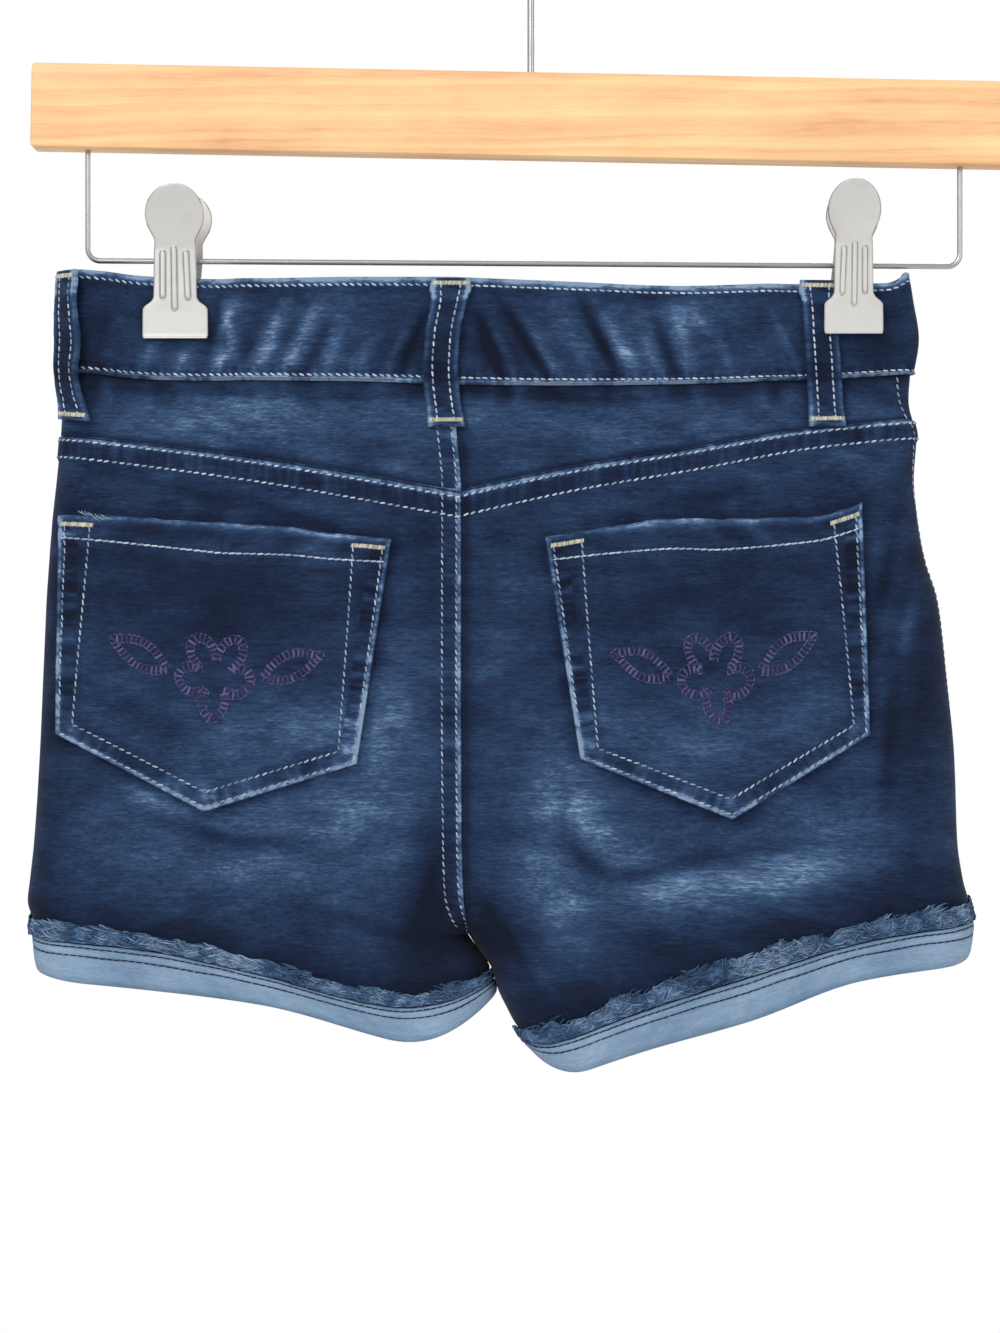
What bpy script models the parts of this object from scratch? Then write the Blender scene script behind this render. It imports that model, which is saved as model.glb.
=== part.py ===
"""Girls' denim shorts held by the waistband in the two clips of a wooden clip hanger.

Millimetres in the tables, metres in the scene, +Z up. The origin is the inside top of the
hanger's hook, where it hangs on a rail. The back of the shorts faces -Y and the wearer's
left is at -X. Each half of the shorts is a surface of rows, from the centre-back seam (the
inseam on a leg) over the back, round the side fold and over the front.
"""
import math

import bmesh
import bpy
import numpy as np

MM = 0.001

# Cloth sizes
DENIM = 1.3  # panel wall
WAISTBAND_WALL = 2.6  # folded denim with its interfacing
WAISTBAND_PROUD = 1.2  # how far the waistband stands out from the panels
POCKET_WALL = 1.2
LOOP_WALL = 1.8
LOOP_WIDTH = 12.6
FLY_WALL = 1.2
SEAM_HALF = 0.16  # half of the gap at a seam
LAID = 0.35  # gap under a piece that lies on a panel
FELL_WIDTH = 6.6  # felled seam, two needles 6.35 apart
FELL_PROUD = 0.6

# The rows of each half: share of the way from waistband edge to hem
V_TOP, V_WAIST, V_YOKE, V_SEAT = 0.0, 0.10, 0.25, 0.50
V_CURVE, V_CROTCH, V_FRAY, V_CUFF, V_HEM = 0.70, 0.80, 0.90, 0.935, 1.0
V_PANEL_END = 0.990

CURVE_TOP_Z, CROTCH_Z = -370.0, -389.2
FRONT_DIP = 6.0  # the front waist hangs this much lower at its centre
FOLD_POWER = 2.2


def table(columns, rows):
    values = np.array(rows, float)
    return {name: values[:, k] for k, name in enumerate(columns.split())}


LEVELS = table(
    "down left_fold right_fold half_depth side_round",
    [
        (150, -165.6, 134.6, 8.6, 9.0),
        (162, -166.6, 136.4, 9.0, 9.5),
        (176, -167.6, 138.4, 9.6, 10.0),
        (190, -167.8, 136.4, 10.4, 11.0),
        (198, -168.4, 135.9, 11.2, 12.0),
        (212, -169.2, 138.6, 12.4, 13.0),
        (226, -170.5, 137.7, 13.4, 14.0),
        (241, -172.1, 139.0, 14.4, 15.0),
        (255, -173.2, 141.4, 15.2, 16.0),
        (270, -174.2, 146.0, 16.0, 17.0),
        (298, -175.4, 149.4, 17.4, 18.0),
        (327, -176.7, 152.2, 18.3, 18.5),
        (356, -178.6, 153.2, 18.8, 18.5),
        (371, -180.2, 155.4, 18.8, 18.0),
        (377.5, -180.9, 157.0, 18.6, 17.5),
        (385, -178.7, 157.0, 18.4, 17.0),
        (392, -176.8, 155.9, 18.1, 16.5),
        (400, -175.6, 154.6, 17.8, 16.0),
        (445, -172.0, 146.0, 17.0, 16.0),
    ],
)

# Where each half ends: centre back, centre front and the inner fold of each leg
CENTRE_BACK = table(
    "down x",
    [
        (150, -28.4),
        (190, -28.4),
        (212, -26.3),
        (231, -24.8),
        (300, -24.8),
        (356, -24.5),
        (378, -23.8),
        (389.2, -23.0),
    ],
)
CENTRE_FRONT = table(
    "down x",
    [(150, -5.0), (300, -5.0), (330, -8.0), (356, -14.0), (378, -20.5), (389.2, -23.0)],
)
INNER_FOLD = {
    "left": table(
        "down x",
        [
            (389.2, -23.2),
            (393, -21.3),
            (397, -18.8),
            (400, -17.6),
            (402, -17.3),
            (405, -16.6),
            (412, -14.8),
            (445, -14.6),
        ],
    ),
    "right": table(
        "down x",
        [
            (389.2, -22.8),
            (393, -20.4),
            (397, -17.8),
            (401, -14.6),
            (409, -12.2),
            (416.5, -8.6),
            (422, -5.6),
            (426, -1.6),
            (431.7, 3.0),
            (445, 9.0),
        ],
    ),
}
INNER_ROUND = {"left": 28.0, "right": 13.0}

# Height of each row at quarters of the width, inner end to side fold, and how far its ends lift
ROWS = {
    "left": table(
        "v inner quarter half three_quarter side inner_lift side_lift",
        [
            (V_TOP, 154.3, 154.3, 154.8, 153.8, 151.2, 0, 0),
            (V_WAIST, 193.2, 192.0, 191.6, 191.0, 188.4, 0, 0),
            (V_YOKE, 231.9, 225.5, 219.8, 215.2, 211.0, 0, 0),
            (V_SEAT, 300, 297, 292, 288, 284, 0, 0),
            (V_CURVE, 370, 362, 350, 341, 334, 0, 0),
            (V_CROTCH, 389.2, 386, 375, 365, 359, 0, 0),
            (V_FRAY, 410.0, 406.9, 396.6, 386.7, 382.4, 8, 0.5),
            (V_HEM, 435.8, 424.7, 413.7, 408.4, 404.5, 24.1, 1.8),
        ],
    ),
    "right": table(
        "v inner quarter half three_quarter side inner_lift side_lift",
        [
            (V_TOP, 154.3, 156.0, 157.6, 156.4, 155.8, 0, 4.2),
            (V_WAIST, 193.2, 193.5, 193.0, 191.3, 188.8, 0, 0),
            (V_YOKE, 231.2, 222.7, 216.3, 209.5, 205.3, 0, 0),
            (V_SEAT, 300, 295, 289, 283, 279, 0, 0),
            (V_CURVE, 370, 354, 341, 331, 325, 0, 0),
            (V_CROTCH, 389.2, 376, 362, 350, 344, 0, 0),
            (V_FRAY, 424.5, 407.9, 394.5, 383.1, 376.3, 2.5, 0),
            (V_HEM, 443.4, 430.2, 419.2, 405.2, 399.2, 14.3, 1.2),
        ],
    ),
}
LIFT_REACH = {"left": (0.238, 0.12), "right": (0.132, 0.05)}
LIFT_POWER = 2.2

# Side seam: arc from the side fold, forward of it when positive
SIDE_SEAM = {
    "left": table("v past_fold", [(V_TOP, 17), (V_SEAT, 20), (V_HEM, 12)]),
    "right": table("v past_fold", [(V_TOP, -2), (V_SEAT, 0), (V_HEM, 6)]),
}

# Where the hanger's clips press the waistband flat: half depth, how far down it stays so, and the
# lengths over which the press and the lack of folds end
PINCHED = 3.1
PRESS = dict(low=177.0, fade=46.0, folds_fade=20.0, folds_reach=0.8, power=6)
CLIPS = table("x reach_left reach_right", [(-127.5, 21.0, 21.0), (115.3, 27.0, 21.0)])

# The largest soft folds: centre, slope, half length, half width and height
FOLDS = table(
    "front x down slope half_length half_width height",
    [
        (0, -118, 177, 58, 13, 4.2, 0.9),
        (0, -97, 178, 62, 12, 3.8, 0.8),
        (0, -77, 177, 60, 13, 4.2, 0.9),
        (0, -56, 179, 64, 11, 3.8, 0.8),
        (0, -6, 176, -66, 12, 3.8, 0.9),
        (0, 13, 177, -60, 13, 4.2, 1.0),
        (0, 34, 175, -58, 13, 4.2, 0.9),
        (0, 56, 178, -60, 12, 3.8, 0.8),
        (0, 78, 176, -64, 12, 4.0, 0.8),
        (0, -96, 203, 4, 38, 6.0, -0.9),
        (0, 40, 202, -3, 40, 6.0, -0.9),
        (0, -116, 355, 8, 42, 8.0, 1.3),
        (0, -96, 374, 14, 44, 7.0, -1.2),
        (0, 66, 358, -14, 50, 7.0, 1.5),
        (0, 92, 373, -12, 44, 7.0, -1.3),
        (0, 20, 388, -38, 30, 6.0, 1.2),
        (0, -52, 392, 26, 26, 6.0, 1.0),
        (0, -42, 356, 56, 22, 5.0, 1.0),
        (0, -6, 362, -54, 22, 5.0, 1.1),
        (0, 4, 305, -78, 40, 5.0, 0.9),
        (0, -40, 300, 80, 36, 5.0, 0.8),
        (1, -112, 176, 118, 12, 4.2, 0.9),
        (1, -84, 178, 122, 12, 4.2, 0.9),
        (1, 38, 178, 62, 12, 4.2, 0.9),
        (1, 72, 176, 60, 12, 4.2, 0.9),
        (1, -90, 232, 12, 40, 9.0, 1.0),
        (1, 66, 236, -12, 40, 9.0, 1.0),
        (1, -60, 345, 30, 40, 8.0, 1.4),
        (1, 34, 348, -30, 40, 8.0, 1.4),
        (1, -104, 372, 10, 42, 8.0, -1.2),
        (1, 88, 374, -12, 42, 8.0, -1.2),
    ],
)


def smooth(at, xs, ys):
    """Monotone cubic through a table's points."""
    at = np.clip(np.asarray(at, float), xs[0], xs[-1])
    step = np.diff(xs)
    slope = np.diff(ys) / step
    both = slope[:-1] * slope[1:]
    tangent = np.empty(len(xs))
    tangent[0] = slope[0]
    tangent[-1] = slope[-1]
    total = np.where(both > 0, slope[:-1] + slope[1:], 1.0)
    tangent[1:-1] = np.where(both > 0, 2 * both / total, 0.0)
    k = np.clip(np.searchsorted(xs, at, side="right") - 1, 0, len(xs) - 2)
    t = (at - xs[k]) / step[k]
    a = (1 + 2 * t) * (1 - t) ** 2 * ys[k] + t * (1 - t) ** 2 * step[k] * tangent[k]
    b = t * t * (3 - 2 * t) * ys[k + 1] + t * t * (t - 1) * step[k] * tangent[k + 1]
    return a + b


def ease(t):
    t = np.clip(t, 0.0, 1.0)
    return t * t * (3 - 2 * t)


def rounded(share):
    left = 1 - np.clip(share, 0.0, 1.0)
    return (1 - left**FOLD_POWER) ** (1 / FOLD_POWER)


def level(name, z):
    return smooth(-z, LEVELS["down"], LEVELS[name])


def drape(z):
    """1 in the torso, falling along a quarter ellipse to 0 at the crotch and in the legs."""
    share = np.clip((CURVE_TOP_Z - z) / (CURVE_TOP_Z - CROTCH_Z), 0.0, 1.0)
    return np.sqrt(1 - share**2)


def inner_line(half, front, z):
    centre = CENTRE_FRONT if front else CENTRE_BACK
    above = smooth(-z, centre["down"], centre["x"])
    below = smooth(-z, INNER_FOLD[half]["down"], INNER_FOLD[half]["x"])
    return np.where(z > CROTCH_Z, above, below)


def relief(front, x, z):
    """Height of the soft folds at (x, z)."""
    total = np.zeros(np.shape(x))
    for k in np.flatnonzero(FOLDS["front"] == front):
        turn = math.radians(FOLDS["slope"][k])
        dx = x - FOLDS["x"][k]
        dz = z + FOLDS["down"][k]
        along = (dx * math.cos(turn) + dz * math.sin(turn)) / FOLDS["half_length"][k]
        across = (dz * math.cos(turn) - dx * math.sin(turn)) / FOLDS["half_width"][k]
        total += FOLDS["height"][k] * np.exp(-(along**2) - across**2)
    return total


def half_depth(half, front, x, z):
    """How far the cloth's outer face stands from the mid plane."""
    way = 1.0 if half == "left" else -1.0
    fold = level(half + "_fold", z)
    side = rounded((x - fold) * way / level("side_round", z))
    hang = drape(z)
    inner = (inner_line(half, front, z) - x) * way
    core = hang + (1 - hang) * rounded(inner / INNER_ROUND[half])
    deep = level("half_depth", z)
    calm = 1.0
    for clip, left, right in zip(CLIPS["x"], CLIPS["reach_left"], CLIPS["reach_right"]):
        away = np.where(x < clip, (clip - x) / left, (x - clip) / right)
        below = -z - PRESS["low"]
        press = np.exp(-(away ** PRESS["power"])) * (1 - ease(below / PRESS["fade"]))
        deep = deep - press * (deep - PINCHED)
        still = np.exp(-((away * PRESS["folds_reach"]) ** PRESS["power"]))
        calm = calm * (1 - still * (1 - ease(below / PRESS["folds_fade"])))
    return (deep + relief(front, x, z) * calm) * side * core


def profile(half, front, v, t):
    """Height of a row at shares t of its width, from its inner end to the side fold."""
    rows = ROWS[half]
    names = ("inner", "quarter", "half", "three_quarter", "side")
    quarters = [smooth(v, rows["v"], rows[name]) for name in names]
    if V_CURVE <= v <= V_CROTCH:
        turn = (v - V_CURVE) / (V_CROTCH - V_CURVE) * math.pi / 2
        quarters[0] = -CURVE_TOP_Z + (CURVE_TOP_Z - CROTCH_Z) * math.sin(turn)
    z = -smooth(t, np.linspace(0, 1, len(names)), np.array(quarters, float))
    inner_reach, side_reach = LIFT_REACH[half]
    inner_lift = smooth(v, rows["v"], rows["inner_lift"])
    side_lift = smooth(v, rows["v"], rows["side_lift"])
    z += inner_lift * np.clip(1 - t / inner_reach, 0, 1) ** LIFT_POWER
    z += side_lift * np.clip(1 - (1 - t) / side_reach, 0, 1) ** LIFT_POWER
    if front:
        z -= FRONT_DIP * (1 - ease((v - V_WAIST) / 0.5)) * (1 - t) ** 2
    return z


SAMPLES = 161  # points on each face of a row
ROW_CACHE = {}


def row(half, v):
    """Arc lengths, points and the arc at the side fold of one row."""
    key = (half, round(float(v), 6))
    if key not in ROW_CACHE:
        t = (1 - np.cos(np.pi * np.linspace(0, 1, SAMPLES))) / 2
        faces = []
        for front in (0, 1):
            z = profile(half, front, key[1], t)
            start = inner_line(half, front, z[:1])[0]
            end = level(half + "_fold", z[-1:])[0]
            x = start + (end - start) * t
            y = half_depth(half, front, x, z) * (1 if front else -1)
            faces.append(np.stack([x, y, z], 1))
        points = np.concatenate([faces[0], faces[1][::-1][1:]])
        steps = np.linalg.norm(np.diff(points, axis=0), axis=1)
        arc = np.concatenate([[0], np.cumsum(steps)])
        ROW_CACHE[key] = (arc, points, arc[SAMPLES - 1])
    return ROW_CACHE[key]


def fold_arc(half, v):
    return row(half, v)[2]


def seam_arc(half, v):
    return fold_arc(half, v) + smooth(v, SIDE_SEAM[half]["v"], SIDE_SEAM[half]["past_fold"])


def full_arc(half, v):
    return row(half, v)[0][-1]


def on_row(half, v, s):
    arc, points, _ = row(half, v)
    return np.stack([np.interp(s, arc, points[:, k]) for k in range(3)], -1)


ARC_STEP = 0.8  # half of the step along a row for its normals
V_STEP = 0.004  # the same across rows
FACE_STEP = 0.4  # the same on the back at (x, z)


def spots(half, v, s, lift=0.0):
    """Points on the half's outer face at rows v and arcs s, moved out along the normal."""
    v, s, lift = np.broadcast_arrays(np.asarray(v, float), np.asarray(s, float), np.asarray(lift, float))
    out = np.empty(v.shape + (3,))
    for one in np.unique(v):
        here = v == one
        arcs = s[here]
        whole = full_arc(half, one)
        place = on_row(half, one, arcs)
        before = np.clip(arcs - ARC_STEP, 0, whole)
        after = np.clip(arcs + ARC_STEP, 0, whole)
        along = on_row(half, one, after) - on_row(half, one, before)
        low = max(one - V_STEP, 0.0)
        high = min(one + V_STEP, 1.0)
        share = arcs / whole
        upper = on_row(half, low, share * full_arc(half, low))
        lower = on_row(half, high, share * full_arc(half, high))
        normal = np.cross(along, lower - upper) * (1 if half == "left" else -1)
        normal /= np.linalg.norm(normal, axis=1, keepdims=True)
        out[here] = place + normal * lift[here][:, None]
    return out


def back_spots(x, z, lift=0.0):
    """Points on the back's outer face at (x, z), moved out along the normal."""
    x, z = np.broadcast_arrays(np.asarray(x, float), np.asarray(z, float))

    def y(x, z):
        left = x < inner_line("left", 0, z)
        return -np.where(left, half_depth("left", 0, x, z), half_depth("right", 0, x, z))

    slope_x = (y(x + FACE_STEP, z) - y(x - FACE_STEP, z)) / (2 * FACE_STEP)
    slope_z = (y(x, z + FACE_STEP) - y(x, z - FACE_STEP)) / (2 * FACE_STEP)
    normal = np.stack([slope_x, -np.ones(x.shape), slope_z], -1)
    normal /= np.linalg.norm(normal, axis=-1, keepdims=True)
    return np.stack([x, y(x, z), z], -1) + normal * np.asarray(lift, float)[..., None]


# ---- building


def clear_scene():
    for obj in list(bpy.data.objects):
        bpy.data.objects.remove(obj, do_unlink=True)


def material(name, colour, rough, metal=0.0):
    made = bpy.data.materials.new(name)
    made.use_nodes = True
    shader = made.node_tree.nodes["Principled BSDF"]
    shader.inputs["Base Color"].default_value = (*colour, 1.0)
    shader.inputs["Roughness"].default_value = rough
    shader.inputs["Metallic"].default_value = metal
    return made


DENIM_DARK = (0.022, 0.045, 0.105)
DENIM_LIT = (0.034, 0.066, 0.140)
DENIM_PALE = (0.17, 0.25, 0.35)
WOOD = (0.86, 0.62, 0.37)
STEEL = (0.72, 0.72, 0.73)


def place(name, mesh, colour, rough=0.85, metal=0.0):
    """One node: an object of its own with its own material."""
    obj = bpy.data.objects.new(name, mesh)
    PARTS.objects.link(obj)
    obj.data.materials.append(material(name + "_surface", colour, rough, metal))
    return obj


def grid_mesh(name, points, closed=False):
    """A grid with its vertices placed; closed joins the last column to the first and caps it."""
    rows, columns = points.shape[:2]
    bm = bmesh.new()
    bmesh.ops.create_grid(bm, x_segments=columns - 1, y_segments=rows - 1, size=1)
    for vert in bm.verts:
        i = round((vert.co.x + 1) / 2 * (columns - 1))
        j = round((vert.co.y + 1) / 2 * (rows - 1))
        vert.co = points[j, i] * MM
    if closed:
        bmesh.ops.remove_doubles(bm, verts=bm.verts, dist=1e-7)
        bmesh.ops.holes_fill(bm, edges=bm.edges, sides=0)
        bmesh.ops.recalc_face_normals(bm, faces=bm.faces)
    mesh = bpy.data.meshes.new(name)
    bm.to_mesh(mesh)
    bm.free()
    return mesh


def inset(points, ends=(0, 0), sides=(0, 0)):
    """Draws the first and last rows, and the first and last columns, in by these lengths."""
    points = points.copy()

    def draw(edge, inner, by):
        way = inner - edge
        return edge + way / np.linalg.norm(way, axis=-1, keepdims=True) * by

    points[0] = draw(points[0], points[1], ends[0])
    points[-1] = draw(points[-1], points[-2], ends[1])
    points[:, 0] = draw(points[:, 0], points[:, 1], sides[0])
    points[:, -1] = draw(points[:, -1], points[:, -2], sides[1])
    return points


def wall(name, half, outer, inner, colour, rough=0.85, metal=0.0):
    """Cloth: a grid through its outer points and one through its inner points, joined at the rims."""
    if half == "right":
        outer, inner = outer[:, ::-1], inner[:, ::-1]
    rows, columns = outer.shape[:2]
    bm = bmesh.new()
    for points in (outer, inner):
        for vert in bmesh.ops.create_grid(bm, x_segments=columns - 1, y_segments=rows - 1, size=1)["verts"]:
            i = round((vert.co.x + 1) / 2 * (columns - 1))
            j = round((vert.co.y + 1) / 2 * (rows - 1))
            vert.co = points[j, i] * MM
    bmesh.ops.bridge_loops(bm, edges=[edge for edge in bm.edges if edge.is_boundary])
    bmesh.ops.recalc_face_normals(bm, faces=bm.faces)
    mesh = bpy.data.meshes.new(name)
    bm.to_mesh(mesh)
    bm.free()
    return place(name, mesh, colour, rough, metal)


def tube(name, sections, colour, rough=0.85, metal=0.0):
    """A solid through closed sections, a row each."""
    rings = np.concatenate([sections, sections[:, :1]], axis=1)
    return place(name, grid_mesh(name, rings, closed=True), colour, rough, metal)


# Columns of points: closer together near a panel's inner end and round its side fold
FELL_STEP = 1.4  # beside the felled seam, where the cloth drops to one layer
INNER_END = 15.0
FOLD_REACH = 20.0


def back_arcs(half, v):
    fold, seam = fold_arc(half, v), seam_arc(half, v)
    near = np.array([0, FELL_WIDTH, FELL_WIDTH + FELL_STEP, INNER_END])
    flat = np.linspace(INNER_END, fold - FOLD_REACH, 10)[1:]
    bend = np.linspace(fold - FOLD_REACH, seam, 8)[1:]
    return np.concatenate([near, flat, bend])


def front_arcs(half, v):
    fold, seam, whole = fold_arc(half, v), seam_arc(half, v), full_arc(half, v)
    turn = max(fold + FOLD_REACH, seam + 4)
    bend = np.linspace(seam, turn, 5 if turn - seam > 8 else 2)
    flat = np.linspace(turn, whole - INNER_END, 9)[1:]
    return np.concatenate([bend, flat, [whole - 8, whole - 3, whole]])


def panel(half, front, stations, felled):
    """Outer and inner points of a panel, a row for each station v."""
    arcs = front_arcs if front else back_arcs
    s = np.array([arcs(half, v) for v in stations])
    v = np.repeat(np.array(stations)[:, None], s.shape[1], 1)
    lift = np.zeros(s.shape)
    if felled and half == "left":
        lift = np.where(s <= FELL_WIDTH + 0.01, FELL_PROUD, lift) * (v < 0.74)
    if felled and not front:
        lift = np.where((v < V_YOKE + 0.033) & (v >= V_YOKE), np.maximum(lift, FELL_PROUD), lift)
    sheets = (spots(half, v, s, lift), spots(half, v, s, lift - DENIM))
    return [inset(points, (SEAM_HALF, 0), (SEAM_HALF, SEAM_HALF)) for points in sheets]


def build_panels():
    below_yoke = np.array([0, 0.032, 0.038])
    for half in ("left", "right"):
        stations = np.array([V_WAIST, 0.135, 0.17, 0.21, V_YOKE - 0.002])
        sheets = panel(half, 0, stations, True)
        wall("yoke_" + half, half, *sheets, DENIM_LIT)

        torso = np.linspace(0.33, V_CURVE, 6)
        curve = np.linspace(V_CURVE, V_CROTCH, 5)[1:]
        leg = np.array([0.835, 0.87, V_FRAY, 0.935, 0.97, V_PANEL_END])
        stations = np.concatenate([V_YOKE + below_yoke, torso, curve, leg])
        sheets = panel(half, 0, stations, True)
        wall("back_panel_" + half, half, *sheets, DENIM_DARK)

        torso = np.linspace(V_WAIST, V_CURVE, 9)
        stations = np.concatenate([torso, curve, leg])
        sheets = panel(half, 1, stations, False)
        wall("front_panel_" + half, half, *sheets, DENIM_DARK)


BAND_FOLD = 14.0  # how far the waistband's bend reaches on each side of the fold
BAND_LAP = 12.0  # the left half's end over the right one at centre front
LAP_RUN = (26.0, 20.0)  # it starts to rise this far from its end, over this length


def build_waistband():
    stations = np.array([V_TOP, 0.022, 0.048, 0.074, V_WAIST])
    for half in ("left", "right"):
        outer, inner = [], []
        for v in stations:
            fold, whole = fold_arc(half, v), full_arc(half, v)
            back = np.linspace(0, fold - BAND_FOLD, 23)
            bend = np.linspace(fold - BAND_FOLD, fold + BAND_FOLD, 8)[1:]
            front = np.linspace(fold + BAND_FOLD, whole, 19)[1:]
            s = np.concatenate([back, bend, front])
            proud = WAISTBAND_PROUD
            if half == "left":
                rise = ease((s - whole + LAP_RUN[0]) / LAP_RUN[1])
                proud = WAISTBAND_PROUD + (WAISTBAND_WALL + LAID) * rise
            for sheet, sunk in ((outer, 0.0), (inner, WAISTBAND_WALL)):
                line = spots(half, v, s, proud - sunk)
                if half == "left":
                    across = full_arc("right", v) - np.array([BAND_LAP / 2, BAND_LAP])
                    line = np.concatenate([line, spots("right", v, across, proud[-1] - sunk)])
                sheet.append(line)
        sheets = [inset(np.array(sheet), (0, SEAM_HALF), (SEAM_HALF, SEAM_HALF)) for sheet in (outer, inner)]
        wall("waistband_" + half, half, *sheets, DENIM_LIT)


POCKETS = {
    "left": table(
        "corner x down",
        [(0, -49.7, 248.4), (1, -167.3, 239.7), (2, -168.0, 317.7), (3, -115.9, 345.1), (4, -61.8, 328.1)],
    ),
    "right": table(
        "corner x down",
        [(0, 4.8, 247.8), (1, 117.4, 235.6), (2, 119.8, 317.9), (3, 70.9, 347.9), (4, 17.2, 326.4)],
    ),
}

# How far each pocket's open top waves above the straight line between its corners, and the share
# of the pocket's height over which that ends
TOP_WAVE = {
    "left": table(
        "share rise",
        [(0, 0), (0.17, 0.4), (0.31, 1.4), (0.5, 1.1), (0.82, 0.7), (1, 0)],
    ),
    "right": table(
        "share rise",
        [(0, 0), (0.18, 1.2), (0.36, 1.7), (0.6, -1.0), (0.74, -2.3), (0.86, -2.9), (0.95, -1.4), (1, 0)],
    ),
}
WAVE_DEPTH = 0.4


def pocket_place(half, p, q):
    """(x, z) on a patch pocket: p runs from its inner edge to its outer edge, q down."""
    x, z = POCKETS[half]["x"], -POCKETS[half]["down"]
    tip = (x[3] - x[4]) / (x[2] - x[4])
    top_x = x[0] + (x[1] - x[0]) * p
    top_z = z[0] + (z[1] - z[0]) * p
    low_x = np.interp(p, [0, tip, 1], [x[4], x[3], x[2]])
    low_z = np.interp(p, [0, tip, 1], [z[4], z[3], z[2]])
    wave = smooth(p, TOP_WAVE[half]["share"], TOP_WAVE[half]["rise"]) * (1 - ease(q / WAVE_DEPTH))
    return top_x + (low_x - top_x) * q, top_z + (low_z - top_z) * q + wave


POCKET_LAID = 0.5  # gap under a pocket
POCKET_GAPE = 1.4  # how far the middle of its open top stands away
GAPE_DEPTH = 0.4  # share of the pocket's height over which that ends


def build_pockets():
    for half in ("left", "right"):
        p = np.array([0, 0.07, 0.2, 0.34, 0.48, 0.62, 0.75, 0.84, 0.9, 0.95, 1.0])
        q = np.array([0, 0.08, 0.2, 0.34, 0.48, 0.62, 0.76, 0.89, 1.0])
        p, q = np.meshgrid(p, q)
        x, z = pocket_place(half, p, q)
        gape = POCKET_GAPE * np.sin(np.pi * p) ** 2 * (1 - ease(q / GAPE_DEPTH))
        lift = POCKET_LAID + gape
        sheets = back_spots(x, z, lift + POCKET_WALL), back_spots(x, z, lift)
        wall("back_pocket_" + half, half, *sheets, DENIM_DARK)


# Height of a loop's inner face over the panels: plain, under a clip's jaw, and over the felled seam
LOOP_RUN = table(
    "down plain pressed felled",
    [
        (156.5, 1.55, 1.8, 1.6),
        (163.0, 2.5, 1.85, 2.6),
        (174.0, 2.9, 1.95, 3.0),
        (186.0, 2.7, 2.6, 2.8),
        (195.0, 1.5, 1.8, 1.7),
        (202.0, 0.75, 0.9, 1.1),
        (208.0, 0.6, 0.8, 1.0),
    ],
)
WAIST_TOP, WAIST_LOW = 154.6, 189.9  # the waistband's edges beside the loops
YOKE_SIDE = 24.0  # depth of the yoke at the side


def build_loops():
    """Belt loops: straight strips, sewn down at both ends and bowed between them."""

    def strip(name, centres, normals, tangents, under):
        inner = centres + normals * under[:, None]
        outer = inner + normals * LOOP_WALL
        side = tangents * LOOP_WIDTH / 2
        sections = np.stack([inner - side, inner, inner + side, outer + side, outer, outer - side], 1)
        tube(name, sections, DENIM_LIT)

    def frame_at(middle, beside, below):
        tangent = beside - middle
        tangent /= np.linalg.norm(tangent, axis=1, keepdims=True)
        drop = below - middle
        normal = np.cross(tangent, drop)
        normal /= np.linalg.norm(normal, axis=1, keepdims=True)
        return tangent, normal

    down = LOOP_RUN["down"]
    flat = np.zeros(len(down))
    sway = {
        "belt_loop_centre_back": (
            table("down x", [(157, -28.6), (162, -29.1), (176, -31.6), (188, -32.3), (208, -30.2)]),
            LOOP_RUN["felled"],
        ),
        "belt_loop_right_back": (
            table("down x", [(157, 102.9), (182, 104.2), (208, 105.6)]),
            LOOP_RUN["pressed"],
        ),
    }
    for name, (line, under) in sway.items():
        x = smooth(down, line["down"], line["x"])
        middle = back_spots(x, -down, flat)
        tangent, normal = frame_at(middle, back_spots(x - 5, -down, flat), back_spots(x, -down - 3, flat))
        strip(name, middle, normal, tangent, under)

    spread = {
        "belt_loop_left_back": ("left", 0, 138.2, 0.15),
        "belt_loop_left_front": ("left", 1, 86.0, 0.1),
        "belt_loop_right_front": ("right", 1, 86.0, 0.1),
    }
    for name, (half, front, arc, more) in spread.items():
        v = (down - WAIST_TOP) / (WAIST_LOW - WAIST_TOP) * V_WAIST
        below = V_WAIST + (down - WAIST_LOW) / YOKE_SIDE * (V_YOKE - V_WAIST)
        v = np.where(v > V_WAIST, below, v)
        s = np.array([full_arc(half, one) - arc if front else arc for one in v])
        middle = spots(half, v, s)
        sign = 1 if half == "left" else -1
        tangent, normal = frame_at(middle, spots(half, v, s + 3 * sign), spots(half, v + 0.01, s))
        strip(name, middle, normal, tangent, LOOP_RUN["plain"] + more)


FLY_WIDTH, FLY_LAP = 33.0, 4.0
FLY_TURN, FLY_BOTTOM = 0.30, 0.47  # rows where the strip starts to narrow, and where it ends
BUTTON = dict(row=0.05, neck=7.0, radius=8.2, depth=2.8, rim=0.9, gap=0.8)


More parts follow.
